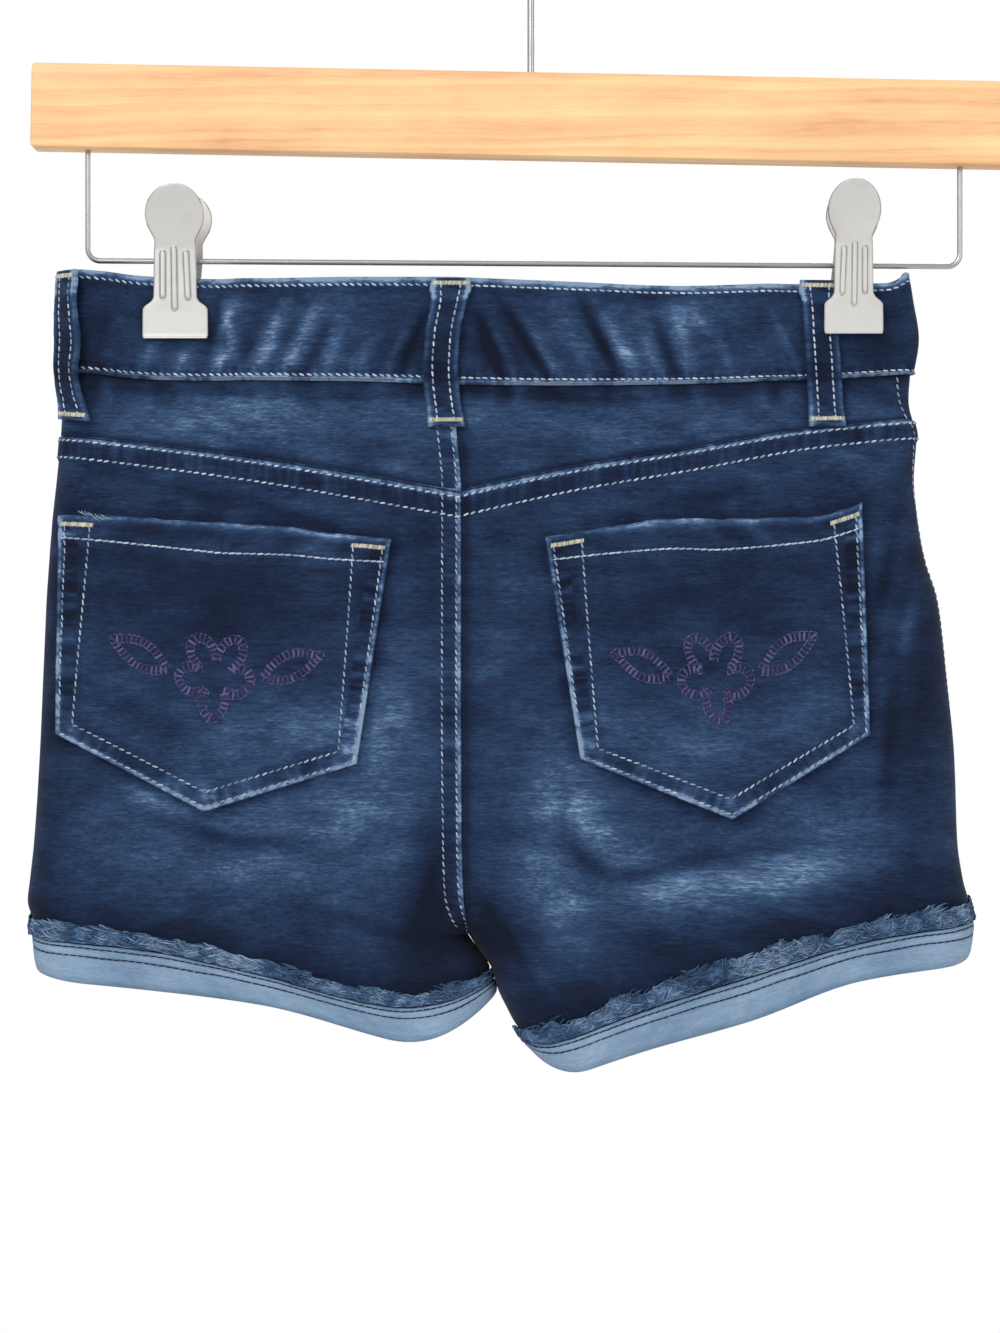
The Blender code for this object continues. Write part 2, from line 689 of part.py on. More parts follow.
def build_fly():
    """The lapped fly strip on the front, and the button above it."""
    outer, inner = [], []
    for v in np.linspace(V_WAIST + V_STEP, FLY_BOTTOM, 9):
        whole = full_arc("left", v)
        turn = ease((v - FLY_TURN) / (FLY_BOTTOM - FLY_TURN))
        width = FLY_WIDTH * math.sqrt(max(1 - turn**2, 0)) + 1.5
        s = whole - width * np.linspace(1, 0, 5)
        for sheet, lift in ((outer, LAID + FLY_WALL), (inner, LAID)):
            line = spots("left", v, s, lift)
            ahead = line[-1] - line[-2]
            end = line[-1] + ahead / np.linalg.norm(ahead) * FLY_LAP
            sheet.append(np.concatenate([line, [end]]))
    wall("fly", "left", np.array(outer), np.array(inner), DENIM_DARK)

    lift = WAISTBAND_PROUD + WAISTBAND_WALL + LAID + BUTTON["gap"]
    seat = spots("left", BUTTON["row"], full_arc("left", BUTTON["row"]) - 1.0, lift)
    bm = bmesh.new()
    bmesh.ops.create_cone(
        bm,
        cap_ends=True,
        segments=28,
        radius1=BUTTON["neck"] * MM,
        radius2=BUTTON["radius"] * MM,
        depth=BUTTON["depth"] * MM,
    )
    rim = [edge for edge in bm.edges if all(vert.co.z > 0 for vert in edge.verts)]
    bmesh.ops.bevel(bm, geom=rim, offset=BUTTON["rim"] * MM, segments=2, affect="EDGES", profile=0.5)
    mesh = bpy.data.meshes.new("button")
    bm.to_mesh(mesh)
    bm.free()
    button = place("button", mesh, STEEL, 0.35, 1.0)
    button.rotation_euler = (-math.pi / 2, 0, 0)
    button.location = (seat[0] * MM, (seat[1] + BUTTON["depth"] / 2) * MM, seat[2] * MM)


# Section of a cuff: share of the way from its top to the hem, and how far out
CUFF_SECTION = table(
    "share out",
    [
        (0.0, 2.2),
        (0.35, 2.55),
        (0.7, 2.6),
        (0.93, 2.2),
        (1.0, 1.2),
        (1.0, -0.9),
        (0.95, -1.35),
        (0.915, -1.35),
        (0.915, LAID),
        (0.55, LAID),
        (0.0, LAID),
    ],
)


def build_cuffs():
    """Turned-up hems: a folded band outside each leg, its bottom under the panel's edge."""
    for half in ("left", "right"):
        for front, name in ((0, "back"), (1, "front")):
            columns = []
            for share, out in zip(CUFF_SECTION["share"], CUFF_SECTION["out"]):
                v = V_CUFF + (V_HEM - V_CUFF) * share
                s = (front_arcs if front else back_arcs)(half, v)
                s[0] += SEAM_HALF
                s[-1] -= SEAM_HALF
                columns.append(spots(half, v, s, out))
            tube("cuff_" + name + "_" + half, np.array(columns).transpose(1, 0, 2), DENIM_PALE)


TUFTS = 40  # on each piece
TUFT_V = 0.0038  # rows for each millimetre of a tuft's height
TUFT = table("low high", [(3.2, 8.6), (1.2, 3.0), (0.2, 1.8), (-0.005, 0.005)])  # height, dip, out, lean
TUFT_TIP, TUFT_ROOT = 0.3, 0.8  # thickness


def build_fray():
    """Raw edge above each cuff: tapering tufts on a narrow strip."""
    rng = np.random.default_rng(7)
    foot = V_CUFF - 1.6 * V_STEP
    count = 2 * TUFTS + 1
    peak = np.arange(count) % 2 == 1
    height, dip, outward, sideways = zip(TUFT["low"], TUFT["high"])
    for half in ("left", "right"):
        for front, name in ((0, "back"), (1, "front")):
            place_in = np.linspace(0.004, 0.996, count)
            place_in[1:-1] += rng.uniform(-0.3, 0.3, count - 2) / count
            tall = np.where(peak, rng.uniform(*height, count), rng.uniform(*dip, count))
            lean = np.where(peak, rng.uniform(*sideways, count), 0.0)
            out = np.where(peak, rng.uniform(*outward, count), 0.0)
            thick = np.where(peak, TUFT_TIP, TUFT_ROOT)
            v_top = foot - tall * TUFT_V
            sections = []
            for k in range(len(peak)):
                corners = []
                for v, share, lift in (
                    (foot, place_in[k], LAID),
                    (foot, place_in[k], LAID + TUFT_ROOT),
                    (v_top[k], place_in[k] + lean[k], LAID + out[k] + thick[k]),
                    (v_top[k], place_in[k] + lean[k], LAID + out[k]),
                ):
                    seam = seam_arc(half, v)
                    low, high = (seam, full_arc(half, v)) if front else (0.0, seam)
                    s = low + (high - low) * np.clip(share, 0.003, 0.997)
                    corners.append(spots(half, v, s, lift))
                sections.append(corners)
            tube("fray_" + name + "_" + half, np.array(sections), DENIM_PALE)


# ---- hanger

TILT = math.radians(1.1)  # the right end hangs a little lower
BAR = dict(length=358.6, height=30.2, depth=12.0, top=-80.6, corner=1.6, rim=0.8)
WIRE_GAP = 0.35  # between the wood and the wires that go into it
WIRE_RADIUS = 1.0
HOOK_RADIUS = 1.3
HOOK_BEND = 19.0  # inside radius of the hook
HOOK_KNEE = -49.0  # height at which the stem starts to swing out to the bend
FRAME = dict(left=-159.5, right=154.4, left_low=-147.6, right_low=-149.6, bend=4.5)


def wire(name, path, radius):
    curve = bpy.data.curves.new(name, "CURVE")
    curve.dimensions = "3D"
    curve.bevel_depth = radius * MM
    curve.bevel_resolution = 2
    curve.use_fill_caps = True
    line = curve.splines.new("POLY")
    line.points.add(len(path) - 1)
    for point, at in zip(line.points, path):
        point.co = (at[0] * MM, at[1] * MM, at[2] * MM, 1.0)
    place(name, curve, STEEL, 0.3, 1.0)


def arc_path(cx, cz, radius, start, end, steps):
    turns = np.radians(np.linspace(start, end, steps))
    return [(cx + radius * math.cos(a), 0.0, cz + radius * math.sin(a)) for a in turns]


def bar_face(x, top):
    """Height of the bar's top or underside at x."""
    return BAR["top"] - (0 if top else BAR["height"]) - math.tan(TILT) * x


def build_bar():
    bm = bmesh.new()
    bmesh.ops.create_cube(bm, size=1)
    for vert in bm.verts:
        vert.co.x *= BAR["length"] * MM
        vert.co.y *= BAR["depth"] * MM
        vert.co.z *= BAR["height"] * MM

    def runs_through(edge):
        return abs(edge.verts[0].co.y - edge.verts[1].co.y) > BAR["rim"] * MM

    corners = [edge for edge in bm.edges if runs_through(edge)]
    bmesh.ops.bevel(bm, geom=corners, offset=BAR["corner"] * MM, segments=3, affect="EDGES", profile=0.5)
    rims = [edge for edge in bm.edges if not runs_through(edge)]
    bmesh.ops.bevel(bm, geom=rims, offset=BAR["rim"] * MM, segments=1, affect="EDGES", profile=0.5)
    mesh = bpy.data.meshes.new("hanger_bar")
    bm.to_mesh(mesh)
    bm.free()
    bar = place("hanger_bar", mesh, WOOD, 0.45)
    bar.rotation_euler = (0, TILT, 0)
    bar.location = (0, 0, (BAR["top"] - BAR["height"] / 2) * MM)


def build_wires():
    left, right, bend = FRAME["left"], FRAME["right"], FRAME["bend"]
    path = [(left, 0, bar_face(left, False) - WIRE_GAP)]
    path += arc_path(left + bend, FRAME["left_low"] + bend, bend, 180, 270, 6)
    path += arc_path(right - bend, FRAME["right_low"] + bend, bend, 270, 360, 6)
    path += [(right, 0, bar_face(right, False) - WIRE_GAP)]
    wire("hanger_frame_wire", path, WIRE_RADIUS)

    reach = HOOK_BEND + HOOK_RADIUS
    ring = arc_path(0, -HOOK_BEND, reach, -58, 205, 24)
    foot = (0.0, 0.0, bar_face(0, True) + WIRE_GAP)
    start_x, _, start_z = ring[0]
    neck = [
        (start_x * ease(t) * (0.55 + 0.45 * t), 0.0, HOOK_KNEE + (start_z - HOOK_KNEE) * t)
        for t in (0.0, 0.25, 0.5, 0.75)
    ]
    wire("hanger_hook", [foot] + neck + ring, HOOK_RADIUS)


# Each clip plate, from the top of its head down to its lip: height, half width, inner face
PLATE = table(
    "down half_width face",
    [
        (0.0, 2.6, 11.2),
        (1.2, 5.6, 10.9),
        (4.2, 8.9, 9.8),
        (7.6, 10.3, 8.6),
        (10.6, 10.6, 7.7),
        (14.0, 10.0, 6.8),
        (17.2, 8.4, 6.2),
        (19.6, 7.4, 5.8),
        (23.0, 7.6, 5.3),
        (29.0, 7.7, 5.2),
        (39.6, 7.9, 5.2),
        (41.4, 8.9, 5.2),
        (43.0, 11.0, 5.2),
        (44.2, 11.7, 5.2),
        (53.2, 11.8, 5.2),
        (54.6, 11.4, 5.9),
    ],
)
PLATE_WALL = 1.0
RIBS = table("across top bottom", [(-4.4, 23.4, 40.0), (0.0, 21.8, 44.2), (4.4, 23.4, 40.0)])
RIB_WIDTH, RIB_PROUD = 1.7, 0.75
RIB_CREST = 0.55  # share of a rib's width at its crest
RIB_FACE, RIB_ROOT = 5.2, 5.55  # the plate's inner face there, and where a rib starts inside the wall
# Top of each clip, its width as a share of the plate's, and how far its back plate stands out to
# lie on a belt loop
CLIP_FIT = {"left": (-121.6, 1.0, 0.0), "right": (-120.1, 0.9, 2.2)}
BARREL = dict(outer=4.85, inner=1.35, half_length=6.0, sides=12)


def wire_height(x):
    share = (x - FRAME["left"]) / (FRAME["right"] - FRAME["left"])
    return FRAME["left_low"] + (FRAME["right_low"] - FRAME["left_low"]) * share


def build_clip(side, x):
    """Two pressed plates and the spring round the frame wire; the back plate may lie on a loop."""
    top, wide, over_loop = CLIP_FIT[side]
    for front, name in ((0, "back"), (1, "front")):
        way = 1 if front else -1
        out = 0 if front else over_loop
        across = np.array([-1.0, -0.55, 0.0, 0.55, 1.0]) * -way
        sheets = []
        for thick in (PLATE_WALL, 0.0):
            points = np.empty((len(PLATE["down"]), len(across), 3))
            points[..., 0] = x + across * PLATE["half_width"][:, None] * wide
            points[..., 1] = way * (PLATE["face"] + out + thick)[:, None]
            points[..., 2] = top - PLATE["down"][:, None]
            sheets.append(points)
        obj = wall("clip_" + side + "_" + name, "right", *sheets, STEEL, 0.3, 1.0)
        bm = bmesh.new()
        for k in range(3):
            high, low = RIBS["top"][k], RIBS["bottom"][k]
            made = bmesh.ops.create_cube(bm, size=1)["verts"]
            for vert in made:
                slim = RIB_CREST if vert.co.y * way > 0 else 1.0
                vert.co.x = (x + (RIBS["across"][k] + vert.co.x * RIB_WIDTH * slim) * wide) * MM
                vert.co.z = (top - (high + low) / 2 + vert.co.z * (low - high - (1 - slim) * 3)) * MM
                crest = RIB_FACE + PLATE_WALL + RIB_PROUD
                deep = out + (RIB_ROOT if vert.co.y * way < 0 else crest)
                vert.co.y = way * deep * MM
        mesh = bpy.data.meshes.new("ribs")
        bm.to_mesh(mesh)
        bm.free()
        ribs = bpy.data.objects.new("ribs_" + side + "_" + name, mesh)
        HELPERS.objects.link(ribs)
        ribs.hide_render = True
        ribs.display_type = "WIRE"
        union = obj.modifiers.new("ribs", "BOOLEAN")
        union.operation = "UNION"
        union.solver = "EXACT"
        union.object = ribs
    z = wire_height(x)
    long = BARREL["half_length"]
    section = [
        (long, BARREL["inner"]),
        (long, BARREL["outer"]),
        (-long, BARREL["outer"]),
        (-long, BARREL["inner"]),
    ]
    sections = np.empty((BARREL["sides"] + 1, len(section), 3))
    for k in range(BARREL["sides"] + 1):
        turn = 2 * math.pi * (k % BARREL["sides"]) / BARREL["sides"]
        for j, (along, radius) in enumerate(section):
            sections[k, j] = (x + along, radius * math.cos(turn), z + radius * math.sin(turn))
    rings = np.concatenate([sections, sections[:, :1]], axis=1)
    place("clip_" + side + "_spring", grid_mesh("spring", rings, closed=True), STEEL, 0.3, 1.0)


clear_scene()
PARTS = bpy.data.collections.new("denim_shorts_on_hanger")
HELPERS = bpy.data.collections.new("helpers")
HELPERS.hide_render = True
for collection in (PARTS, HELPERS):
    bpy.context.scene.collection.children.link(collection)
build_panels()
build_waistband()
build_pockets()
build_loops()
build_fly()
build_cuffs()
build_fray()
build_bar()
build_wires()
for clip_side, clip_x in zip(CLIP_FIT, CLIPS["x"]):
    build_clip(clip_side, clip_x)
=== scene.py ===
"""Looks of the denim shorts on their clip hanger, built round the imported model."""
import math

import bpy
import numpy as np
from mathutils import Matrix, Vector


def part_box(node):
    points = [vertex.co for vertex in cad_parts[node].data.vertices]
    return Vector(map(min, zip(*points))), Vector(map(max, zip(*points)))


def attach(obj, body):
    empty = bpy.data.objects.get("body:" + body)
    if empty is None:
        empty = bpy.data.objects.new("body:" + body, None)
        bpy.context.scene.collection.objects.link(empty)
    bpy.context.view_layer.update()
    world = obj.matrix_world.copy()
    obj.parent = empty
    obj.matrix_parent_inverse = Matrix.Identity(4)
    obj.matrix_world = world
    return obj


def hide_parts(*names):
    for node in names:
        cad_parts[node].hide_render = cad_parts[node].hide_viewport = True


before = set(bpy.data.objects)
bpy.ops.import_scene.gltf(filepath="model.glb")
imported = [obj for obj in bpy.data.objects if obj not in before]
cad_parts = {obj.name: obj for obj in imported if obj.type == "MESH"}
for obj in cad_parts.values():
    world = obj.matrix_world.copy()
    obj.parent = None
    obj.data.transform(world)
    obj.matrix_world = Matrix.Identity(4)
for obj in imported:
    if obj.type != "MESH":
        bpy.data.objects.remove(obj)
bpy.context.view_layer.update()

MM = 0.001

# ---- camera: level, straight at the back of the shorts

CAMERA_AT = (-0.01116, -1.1, -0.29364)
LENS_MM = 82.5
camera = bpy.data.objects.new("camera", bpy.data.cameras.new("camera"))
camera.data.sensor_width = 36.0
camera.data.lens = LENS_MM
camera.location = CAMERA_AT
camera.rotation_euler = (math.pi / 2, 0.0, 0.0)
bpy.context.scene.collection.objects.link(camera)
bpy.context.scene.camera = camera

# ---- the garment's surface, as in the part's source (millimetres); only the left leg's inner fold
# goes further here, to meet the right one

# Walls of the cloth, and how far pieces stand out from it
DENIM = 1.3
WAISTBAND_WALL = 2.6
WAISTBAND_PROUD = 1.2
POCKET_WALL = 1.2
LOOP_WALL = 1.8
LOOP_WIDTH = 12.6
FLY_WALL = 1.2
SEAM_HALF = 0.1  # half the gap between two pieces sewn together
LAID = 0.35  # gap under a piece that lies on another
FELL_WIDTH = 6.6
FELL_PROUD = 0.6

# Rows v of the surface, from the top of the waistband (0) to the hems (1)
V_TOP, V_WAIST, V_YOKE, V_SEAT = 0.0, 0.10, 0.25, 0.50
V_CURVE, V_CROTCH, V_FRAY, V_CUFF, V_HEM = 0.70, 0.80, 0.90, 0.935, 1.0
V_PANEL_END = 0.990
CURVE_TOP_Z, CROTCH_Z = -370.0, -389.2
FRONT_DIP = 6.0  # how far the front's waist hangs lower in the middle
FOLD_POWER = 2.2  # 2 would make the side folds round


def table(columns, rows):
    """Rows of numbers as named columns."""
    values = np.array(rows, float)
    return {name: values[:, k] for k, name in enumerate(columns.split())}


# Where the side folds lie at each level below the hook, how deep the cloth is and how round its sides
LEVELS = table(
    "down left_fold right_fold half_depth side_round",
    [
        (150, -165.6, 134.6, 8.6, 9), (162, -166.6, 136.4, 9, 9.5), (176, -167.6, 138.4, 9.6, 10),
        (190, -167.8, 136.4, 10.4, 11), (198, -168.4, 135.9, 11.2, 12), (212, -169.2, 138.6, 12.4, 13),
        (226, -170.5, 137.7, 13.4, 14), (241, -172.1, 139, 14.4, 15), (255, -173.2, 141.4, 15.2, 16),
        (270, -174.2, 146, 16, 17), (298, -175.4, 149.4, 17.4, 18), (327, -176.7, 152.2, 18.3, 18.5),
        (356, -178.6, 153.2, 18.8, 18.5), (371, -180.2, 155.4, 18.8, 18), (377.5, -180.9, 157, 18.6, 17.5),
        (385, -178.7, 157, 18.4, 17), (392, -176.8, 155.9, 18.1, 16.5), (400, -175.6, 154.6, 17.8, 16),
        (445, -172, 146, 17, 16),
    ],
)
CENTRE_BACK = table(
    "down x",
    [
        (150, -28.4), (190, -28.4), (212, -26.3), (231, -24.8), (300, -24.8), (356, -24.5), (378, -23.8),
        (389.2, -23),
    ],
)
CENTRE_FRONT = table(
    "down x",
    [(150, -5.0), (300, -5.0), (330, -8.0), (356, -14.0), (378, -20.5), (389.2, -23.0)],
)
INNER_FOLD = {
    "left": table(
        "down x",
        [
            (389.2, -23.2), (393, -20.6), (397, -17.8), (400, -15.5), (402, -14.9), (405, -15.4),
            (412, -14.8), (445, -14.6),
        ],
    ),
    "right": table(
        "down x",
        [
            (389.2, -22.8), (393, -20.4), (397, -17.8), (401, -14.6), (409, -12.2), (416.5, -8.6),
            (422, -5.6), (426, -1.6), (431.7, 3), (445, 9),
        ],
    ),
}
INNER_ROUND = {"left": 28.0, "right": 13.0}
# Levels of each row from the inner line to the side, and how far its two ends lift
ROWS = {
    "left": table(
        "v inner quarter half three_quarter side inner_lift side_lift",
        [
            (V_TOP, 154.3, 154.3, 154.8, 153.8, 151.2, 0, 0),
            (V_WAIST, 193.2, 192, 191.6, 191, 188.4, 0, 0), (V_YOKE, 231.9, 225.5, 219.8, 215.2, 211, 0, 0),
            (V_SEAT, 300, 297, 292, 288, 284, 0, 0), (V_CURVE, 370, 362, 350, 341, 334, 0, 0),
            (V_CROTCH, 389.2, 386, 375, 365, 359, 0, 0), (V_FRAY, 410, 406.9, 396.6, 386.7, 382.4, 8, 0.5),
            (V_HEM, 435.8, 424.7, 413.7, 408.4, 404.5, 24.1, 1.8),
        ],
    ),
    "right": table(
        "v inner quarter half three_quarter side inner_lift side_lift",
        [
            (V_TOP, 154.3, 156, 157.6, 156.4, 155.8, 0, 4.2),
            (V_WAIST, 193.2, 193.5, 193, 191.3, 188.8, 0, 0),
            (V_YOKE, 231.2, 222.7, 216.3, 209.5, 205.3, 0, 0), (V_SEAT, 300, 295, 289, 283, 279, 0, 0),
            (V_CURVE, 370, 354, 341, 331, 325, 0, 0), (V_CROTCH, 389.2, 376, 362, 350, 344, 0, 0),
            (V_FRAY, 424.5, 407.9, 394.5, 383.1, 376.3, 2.5, 0),
            (V_HEM, 443.4, 430.2, 419.2, 405.2, 399.2, 14.3, 1.2),
        ],
    ),
}
LIFT_REACH = {"left": (0.238, 0.12), "right": (0.132, 0.05)}
SIDE_SEAM = {
    "left": table("v past_fold", [(V_TOP, 17), (V_SEAT, 20), (V_HEM, 12)]),
    "right": table("v past_fold", [(V_TOP, -2), (V_SEAT, 0), (V_HEM, 6)]),
}
PINCHED = 3.1  # half depth under the clips
CLIPS = table("x reach_left reach_right", [(-127.5, 21.0, 21.0), (115.3, 27.0, 21.0)])

# Soft ridges (height above 0) and troughs (below 0) of the cloth, on the back (0) and the front (1)
SOFT = "front x down slope half_length half_width height"
FOLDS = table(
    SOFT,
    [
        (0, -118, 177, 58, 13, 4.2, 0.9), (0, -97, 178, 62, 12, 3.8, 0.8), (0, -77, 177, 60, 13, 4.2, 0.9),
        (0, -56, 179, 64, 11, 3.8, 0.8), (0, -6, 176, -66, 12, 3.8, 0.9), (0, 13, 177, -60, 13, 4.2, 1),
        (0, 34, 175, -58, 13, 4.2, 0.9), (0, 56, 178, -60, 12, 3.8, 0.8), (0, 78, 176, -64, 12, 4, 0.8),
        (0, -96, 203, 4, 38, 6, -0.9), (0, 40, 202, -3, 40, 6, -0.9), (0, -116, 355, 8, 42, 8, 1.3),
        (0, -96, 374, 14, 44, 7, -1.2), (0, 66, 358, -14, 50, 7, 1.5), (0, 92, 373, -12, 44, 7, -1.3),
        (0, 20, 388, -38, 30, 6, 1.2), (0, -52, 392, 26, 26, 6, 1), (0, -42, 356, 56, 22, 5, 1),
        (0, -6, 362, -54, 22, 5, 1.1), (0, 4, 305, -78, 40, 5, 0.9), (0, -40, 300, 80, 36, 5, 0.8),
        (1, -112, 176, 118, 12, 4.2, 0.9), (1, -84, 178, 122, 12, 4.2, 0.9), (1, 38, 178, 62, 12, 4.2, 0.9),
        (1, 72, 176, 60, 12, 4.2, 0.9), (1, -90, 232, 12, 40, 9, 1), (1, 66, 236, -12, 40, 9, 1),
        (1, -60, 345, 30, 40, 8, 1.4), (1, 34, 348, -30, 40, 8, 1.4), (1, -104, 372, 10, 42, 8, -1.2),
        (1, 88, 374, -12, 42, 8, -1.2),
    ],
)

# Finer creases than the solids carry: ridges, and the troughs beside them
CREASES = table(
    SOFT,
    [
        # waistband, left of the centre loop: short ridges rising to the right
        (0, -156, 176, 82, 12, 2, 0.5), (0, -151.6, 182, 64, 6, 2, 0.5),
        (0, -137.4, 182.8, 66, 6.5, 2.6, 0.8), (0, -124.8, 183.5, 62, 6, 2.8, 1),
        (0, -111, 184.5, 58, 6.5, 3, 1.1), (0, -106.6, 175, -80, 9, 2.2, 0.9),
        (0, -105.5, 165.5, 65, 7, 2, 0.6), (0, -113.5, 172, 78, 11, 2.2, -0.8),
        (0, -95.2, 183, 62, 8, 2.8, 1), (0, -90.5, 170, 64, 8, 3, 0.6), (0, -78.5, 169, 62, 8, 3, 0.5),
        (0, -100.5, 180, 62, 9, 2, -0.6), (0, -85.4, 184, 60, 7, 2.8, 0.9),
        (0, -76.5, 180, 62, 10, 2, -0.6), (0, -71.1, 183, 66, 8, 2.6, 0.8),
        (0, -60, 183.5, 58, 9, 2.6, 0.7), (0, -48, 180, 64, 12, 1.9, 0.6), (0, -43, 180, 66, 12, 1.8, -0.8),
        # waistband, right of the centre loop: sharper ridges falling to the right
        (0, -10, 181, -66, 13, 2.2, 0.8), (0, -14.7, 180, -70, 14, 2.4, -1.1),
        (0, 4.6, 182, -58, 14, 2.4, 0.9), (0, -0.6, 180, -58, 17, 1.9, -1.3),
        (0, 17.5, 183, -66, 9, 2.6, 0.6), (0, 31.4, 179, -64, 14, 2.8, 0.9),
        (0, 25.6, 179, -64, 15, 1.9, -1.3), (0, 36, 184, -50, 8, 2.4, 0.5), (0, 43, 184, -66, 8, 1.8, 0.6),
        (0, 54, 176, -74, 14, 2.8, 0.8), (0, 48.6, 182, -70, 13, 2, -1.1), (0, 61.5, 172, -60, 9, 2.4, 0.7),
        (0, 69, 182, -70, 9, 1.8, 0.6), (0, 89.5, 175, -62, 12, 1.7, 0.7),
        # just under the waistband
        (0, -118, 195.4, -2, 46, 1.5, -0.7), (0, -106, 203, -2, 40, 5, 0.15),
        (0, -56, 197, 2, 22, 1.6, -0.6), (0, 10, 197.6, -3, 32, 1.8, -0.8),
        (0, 64, 196.6, 3, 30, 1.7, -0.7),
        # yoke
        (0, -92, 210, 14, 20, 2.6, 0.3), (0, -58, 216, -16, 16, 2.4, -0.3), (0, 34, 212, -12, 24, 2.6, 0.3),
        (0, 82, 205, -22, 14, 2.2, -0.3),
        # between the yoke seam and the pockets
        (0, -120, 232, -14, 30, 2.2, -0.6), (0, -84, 240, -18, 24, 2.4, -0.6),
        (0, 60, 234, 10, 34, 2.4, -0.6), (0, 104, 222, 20, 18, 2.6, 0.5),
        # below the pockets and across the thighs
        (0, -130, 341.6, -25, 13, 1.6, 0.6), (0, -118, 351, -27, 12, 2.8, -0.7),
        (0, -95, 356, -2, 17, 2.8, -0.6), (0, 11.5, 344, 87, 9, 2.4, -0.5),
        (0, 14.7, 356.5, -58, 9, 2.4, -0.8), (0, 23.5, 365.4, -27, 8, 2.4, -0.9),
        (0, 36, 367.4, 3, 10, 2.4, -0.9), (0, 54, 364, 12, 13, 2.6, -0.8),
        (0, 76, 359.4, 10, 16, 2.8, -0.5), (0, 20, 348, -48, 20, 6, 0.25), (0, 56, 374, 10, 40, 6, 0.3),
        (0, 26, 388, -14, 22, 4, -0.4), (0, 104, 356, 8, 26, 2.6, -0.4), (0, -150, 366, -12, 22, 2.4, -0.4),
        (0, -60, 384, -20, 20, 2.6, -0.5), (0, -36, 372, 74, 16, 2.2, -0.6), (0, -30, 384, 60, 12, 2, 0.5),
        (0, -14, 382, -56, 14, 2.2, -0.6), (0, 2, 400, -60, 16, 2.4, 0.5), (0, 126, 260, 78, 18, 2.6, -0.8),
        (0, 134, 278, 76, 13, 2.6, 0.8), (0, 127, 318, 86, 24, 2.8, -0.8), (0, -168, 300, 86, 26, 2.4, 0.3),
        # front waistband
        (1, -128, 180, 118, 11, 1.7, 0.5), (1, -98, 182, 116, 9, 1.7, 0.5),
        (1, -70, 180, 120, 12, 1.7, 0.6), (1, -52, 182, 112, 9, 1.8, -0.4),
        (1, -36, 181, 108, 10, 1.6, 0.4), (1, 24, 181, 72, 10, 1.6, 0.4), (1, 54, 182, 64, 12, 1.7, 0.6),
        (1, 88, 180, 62, 11, 1.7, 0.5), (1, 108, 182, 66, 9, 1.8, -0.4),
        # front panels
        (1, -60, 202, 3, 34, 1.8, -0.5), (1, 56, 202, -3, 34, 1.8, -0.5), (1, -46, 262, 24, 24, 3, 0.5),
        (1, -62, 284, 20, 26, 2.8, -0.5), (1, 34, 264, -24, 24, 3, 0.5), (1, 50, 288, -20, 26, 2.8, -0.5),
        (1, -30, 330, 48, 22, 2.6, -0.7), (1, -44, 336, 46, 24, 2.6, 0.6), (1, 14, 336, -46, 22, 2.6, -0.7),
        (1, 28, 340, -44, 24, 2.6, 0.6), (1, -36, 366, 30, 24, 2.6, -0.6), (1, 12, 372, -34, 24, 2.6, -0.6),
        (1, -126, 352, 12, 26, 2.6, 0.5), (1, 108, 350, -12, 26, 2.6, 0.5),
    ],
)

